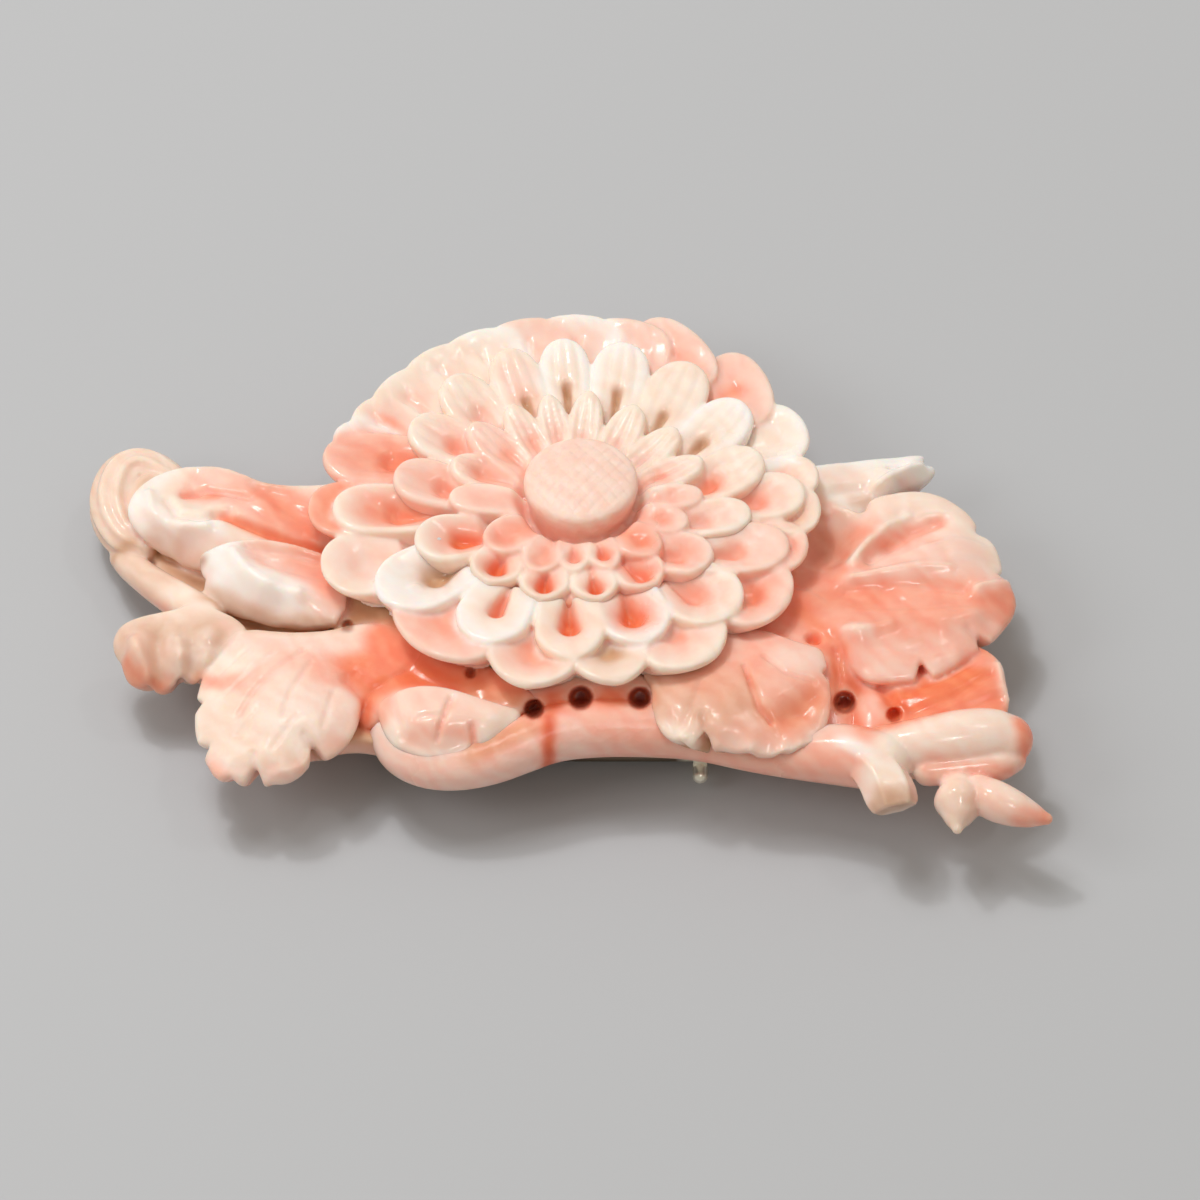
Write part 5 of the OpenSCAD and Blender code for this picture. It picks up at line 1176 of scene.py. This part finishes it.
def metalMaterial():
    # pale polished metal: fine drawn lines along the pin as bump, clouds of wear in tone and polish, bright at
    # the visible end and darkened towards the hinge as painted shade
    material, tree, shade = shaderTree("pinMetal")
    link = tree.links.new
    shade.inputs["Metallic"].default_value = metal["metallic"]
    clouds = pattern(tree, "ShaderNodeTexNoise", Scale=metal["clouds"], Detail=4)
    ramp = node(tree, "ShaderNodeValToRGB")
    for stop, (place, colour) in zip(ramp.color_ramp.elements, metal["wearShadeAndSheen"]):
        stop.position, stop.color = place, colour
    link(clouds.outputs["Fac"], ramp.inputs[0])
    split = pattern(tree, "ShaderNodeSeparateXYZ")
    # painted shade: the bar turns dark towards the hinge, where it lies in the shadow under the arch
    barShade = node(tree, "ShaderNodeMix", data_type="RGBA")
    link(ranged(tree, split.outputs["X"], metal["barShadeFrom"], (0, 1)), barShade.inputs[0])
    link(ramp.outputs[0], barShade.inputs[6])
    barShade.inputs[7].default_value = metal["barShade"]
    link(barShade.outputs[2], shade.inputs["Base Color"])
    link(ranged(tree, clouds.outputs["Fac"], (0, 1), metal["roughness"]), shade.inputs["Roughness"])
    stretch = pattern(tree, "ShaderNodeMapping", Scale=metal["lines"])
    drawn = node(tree, "ShaderNodeTexNoise", Scale=1, Detail=2)
    link(stretch.outputs[0], drawn.inputs["Vector"])
    link(bumped(tree, drawn.outputs["Fac"], metal["lineStrength"], metal["bump"]), shade.inputs["Normal"])
    return material


coral, pinMetal = coralMaterial(), metalMaterial()
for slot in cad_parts["pin_back"].material_slots:
    slot.material = pinMetal


def petalSolids(*names):
    # every petal of the named rows
    return [petalSolid(petal, petalRows[name]) for name in names for petal in petalRows[name]["rows"]]


def dullSide(flat):
    # the flower is less polished at its right, fading out towards the back
    return 0.5 * ease(2, 8, flat[:, 0]) * (1 - ease(3, 9, flat[:, 1]))


print("flower")
solids = petalSolids("third", "outer") + [turned(flowerFoot, flower["middle"], 120), backFillSolid()]
mesh, p, edges = fuse("flower_skirt", solids)
flat = p[:, :2] - np.array(flower["middle"])
behind = ease(0.1, 0.5, flat[:, 1] / np.maximum(np.hypot(flat[:, 0], flat[:, 1]), 0.1))
colours = tint(coat(p, "salmon"), "tan", flower["backTan"] * behind * ease(-4, 1, flat[:, 0]))
# tan painted as shade low on the flower's foot, under the petals
colours = tint(colours, "tan", flower["footShade"] * (1 - ease(1.5, 4.5, p[:, 2])) * (1 - behind))
colours = petalColours(p, petalColours(p, colours, "outer"), "third")
finishPiece("flower_skirt", mesh, p, edges, colours, dullSide(flat))

solids = petalSolids("near", "second") + [
    turned(heartDisc, flower["middle"], 96), buttonSolid(), turned(peg["profile"], peg["at"], 24)]
mesh, p, edges = fuse("flower_heart", solids, skin["heartVoxel"])
colours = petalColours(p, petalColours(p, coat(p, "coral"), "second"), "near")
flat = p[:, :2] - np.array(button["middle"])
rim = button["radius"]
onButton = 1 - ease(rim - 0.1, rim + 0.1, np.hypot(flat[:, 0], flat[:, 1]))
colours = tint(tint(colours, "shell", onButton), "cream", button["cream"] * onButton)
colours = tint(colours, "salmon", button["sideSalmon"] * onButton * (1 - ease(7.6, 8.8, p[:, 2])))
for turn in button["hatchTurns"]:
    run = (flat @ around(turn, 1.0)) / button["hatchStep"]
    cut = np.exp(-((run - np.round(run)) * button["hatchStep"] / button["hatchWidth"]) ** 2)
    p[:, 2] -= button["hatch"] * onButton * ease(8.6, 8.9, p[:, 2]) * cut
matt = button["matt"] * onButton + dullSide(flat) * (1 - onButton)
finishPiece("flower_heart", mesh, p, edges, colours, matt)

print("leaves")
for name, side in leafSides.items():
    # each leaf's base tone and strokes lie inside its own outline, near its own top
    solids = [leafSolid(leaves[leaf]) for leaf in side["leaves"]] + [sheetSolid(side["sheet"])]
    mesh, p, edges = fuse(name, solids + stemSolids(side["stems"]))
    # tan is painted shade on the sheet where it shows in the gaps between the leaves; the low sides take
    # blush, the stone's own tone
    colours = tint(coat(p, "tan"), "blush", 0.7 * (1 - ease(1.1, 1.7, p[:, 2])))
    matt = np.zeros(len(p))
    for key in side["leaves"]:
        leaf = leaves[key]
        own = strokes(p, coat(p, leaf["base"]), leaf["paint"])
        top = heightField(leaf["outline"] + leaf["inner"])(p[:, 0], p[:, 1])
        share = ease(-0.4, 0.05, insideOf(p, cutOutline(leaf))) * ease(-1.9, -0.8, p[:, 2] - top)
        colours = layOver(colours, own, share)
        matt = matt * (1 - share) + leaf.get("matt", 0) * share
    if side["stems"]:
        # the curl and its stem have their own strokes, outside the far leaf
        offLeaf = 1 - ease(-0.4, 0.1, insideOf(p, leaves["farLeft"]["outline"]))
        colours = layOver(colours, strokes(p, colours, curlPaint), offLeaf)
    p, colours = drill(p, colours)
    finishPiece(name, mesh, p, edges, colours, matt)

print("branch")
solids = stemSolids(["arch", "band", "lowBand", "knob", "bridge", "middleBud", "endBud"])
mesh, p, edges = fuse("branch", solids)
p, colours = drill(p, strokes(p, coat(p, "shell"), branchPaint))
# the arch is less polished than its two ends
matt = 0.45 * ease(-13, -10, p[:, 0]) * (1 - ease(14, 18, p[:, 0]))
finishPiece("branch", mesh, p, edges, colours, matt)

print("floor, lights and camera")
scene = bpy.context.scene
ground = {"tone": (0.487, 0.504, 0.53, 1), "roughness": 0.5}
room = {"tone": (1, 0.93, 0.82, 1), "strength": 0.46}
# Square lamps that face the middle of the table: place, size, watts, tone, whether the gloss shows it,
# whether it lights the stone
lamps = {
    "ceiling": ((-0.16, 0.17, 0.6), 0.26, 1.58, (1, 0.99, 0.99), False, True),
    "fill": ((-0.5, -0.12, 0.45), 0.3, 0.85, (1, 0.985, 0.97), False, True),
    "lampBehind": ((-0.17, 0.2, 0.55), 0.05, 0.5, (1, 0.99, 0.98), True, True),
    "lampRight": ((0.2, 0.12, 0.5), 0.04, 0.1, (1, 0.98, 0.95), True, True),
    "glintLeft": ((-0.33, 0.0, 0.5), 0.05, 0.2, (1, 1, 1), True, False),
    "glintFront": ((0.1, -0.24, 0.5), 0.05, 0.25, (1, 1, 1), True, False)}

floorMaterial, _, shade = shaderTree("paleFloor")
shade.inputs["Base Color"].default_value = ground["tone"]
shade.inputs["Roughness"].default_value = ground["roughness"]
corners = np.array([(-1, -1, 0), (1, -1, 0), (1, 1, 0), (-1, 1, 0)], float)
floorMesh = meshFrom("floor", corners, np.array([[0, 1, 2, 3]]), np.zeros((0, 3), int))
floorMesh.materials.append(floorMaterial)
floor = bpy.data.objects.new("floor", floorMesh)
scene.collection.objects.link(floor)

scene.view_settings.view_transform = "Standard"
scene.world = bpy.data.worlds.new("room")
scene.world.use_nodes = True
sky = scene.world.node_tree.nodes["Background"].inputs
sky["Color"].default_value, sky["Strength"].default_value = room["tone"], room["strength"]

for name, (place, size, watts, colour, inGloss, onStone) in lamps.items():
    data = bpy.data.lights.new(name, "AREA")
    data.shape, data.size, data.energy, data.color = "SQUARE", size, watts, colour
    lamp = bpy.data.objects.new(name, data)
    lamp.location = place
    lamp.rotation_euler = (0, math.acos(place[2] / np.linalg.norm(place)), math.atan2(place[1], place[0]))
    lamp.visible_glossy, lamp.visible_diffuse = inGloss, onStone
    scene.collection.objects.link(lamp)

look = {"target": (0.0023, -0.00074, 0.004), "elevation": 56, "distance": 1.464, "lens": 600, "sensor": 36}
tilt = math.radians(look["elevation"])
camera = bpy.data.objects.new("camera", bpy.data.cameras.new("camera"))
camera.data.lens, camera.data.sensor_width = look["lens"], look["sensor"]
camera.data.clip_start, camera.data.clip_end = 0.01, 10
camera.location = np.array(look["target"]) + look["distance"] * np.array([0, -math.cos(tilt), math.sin(tilt)])
camera.rotation_euler = (math.pi / 2 - tilt, 0, 0)
scene.collection.objects.link(camera)
scene.camera = camera
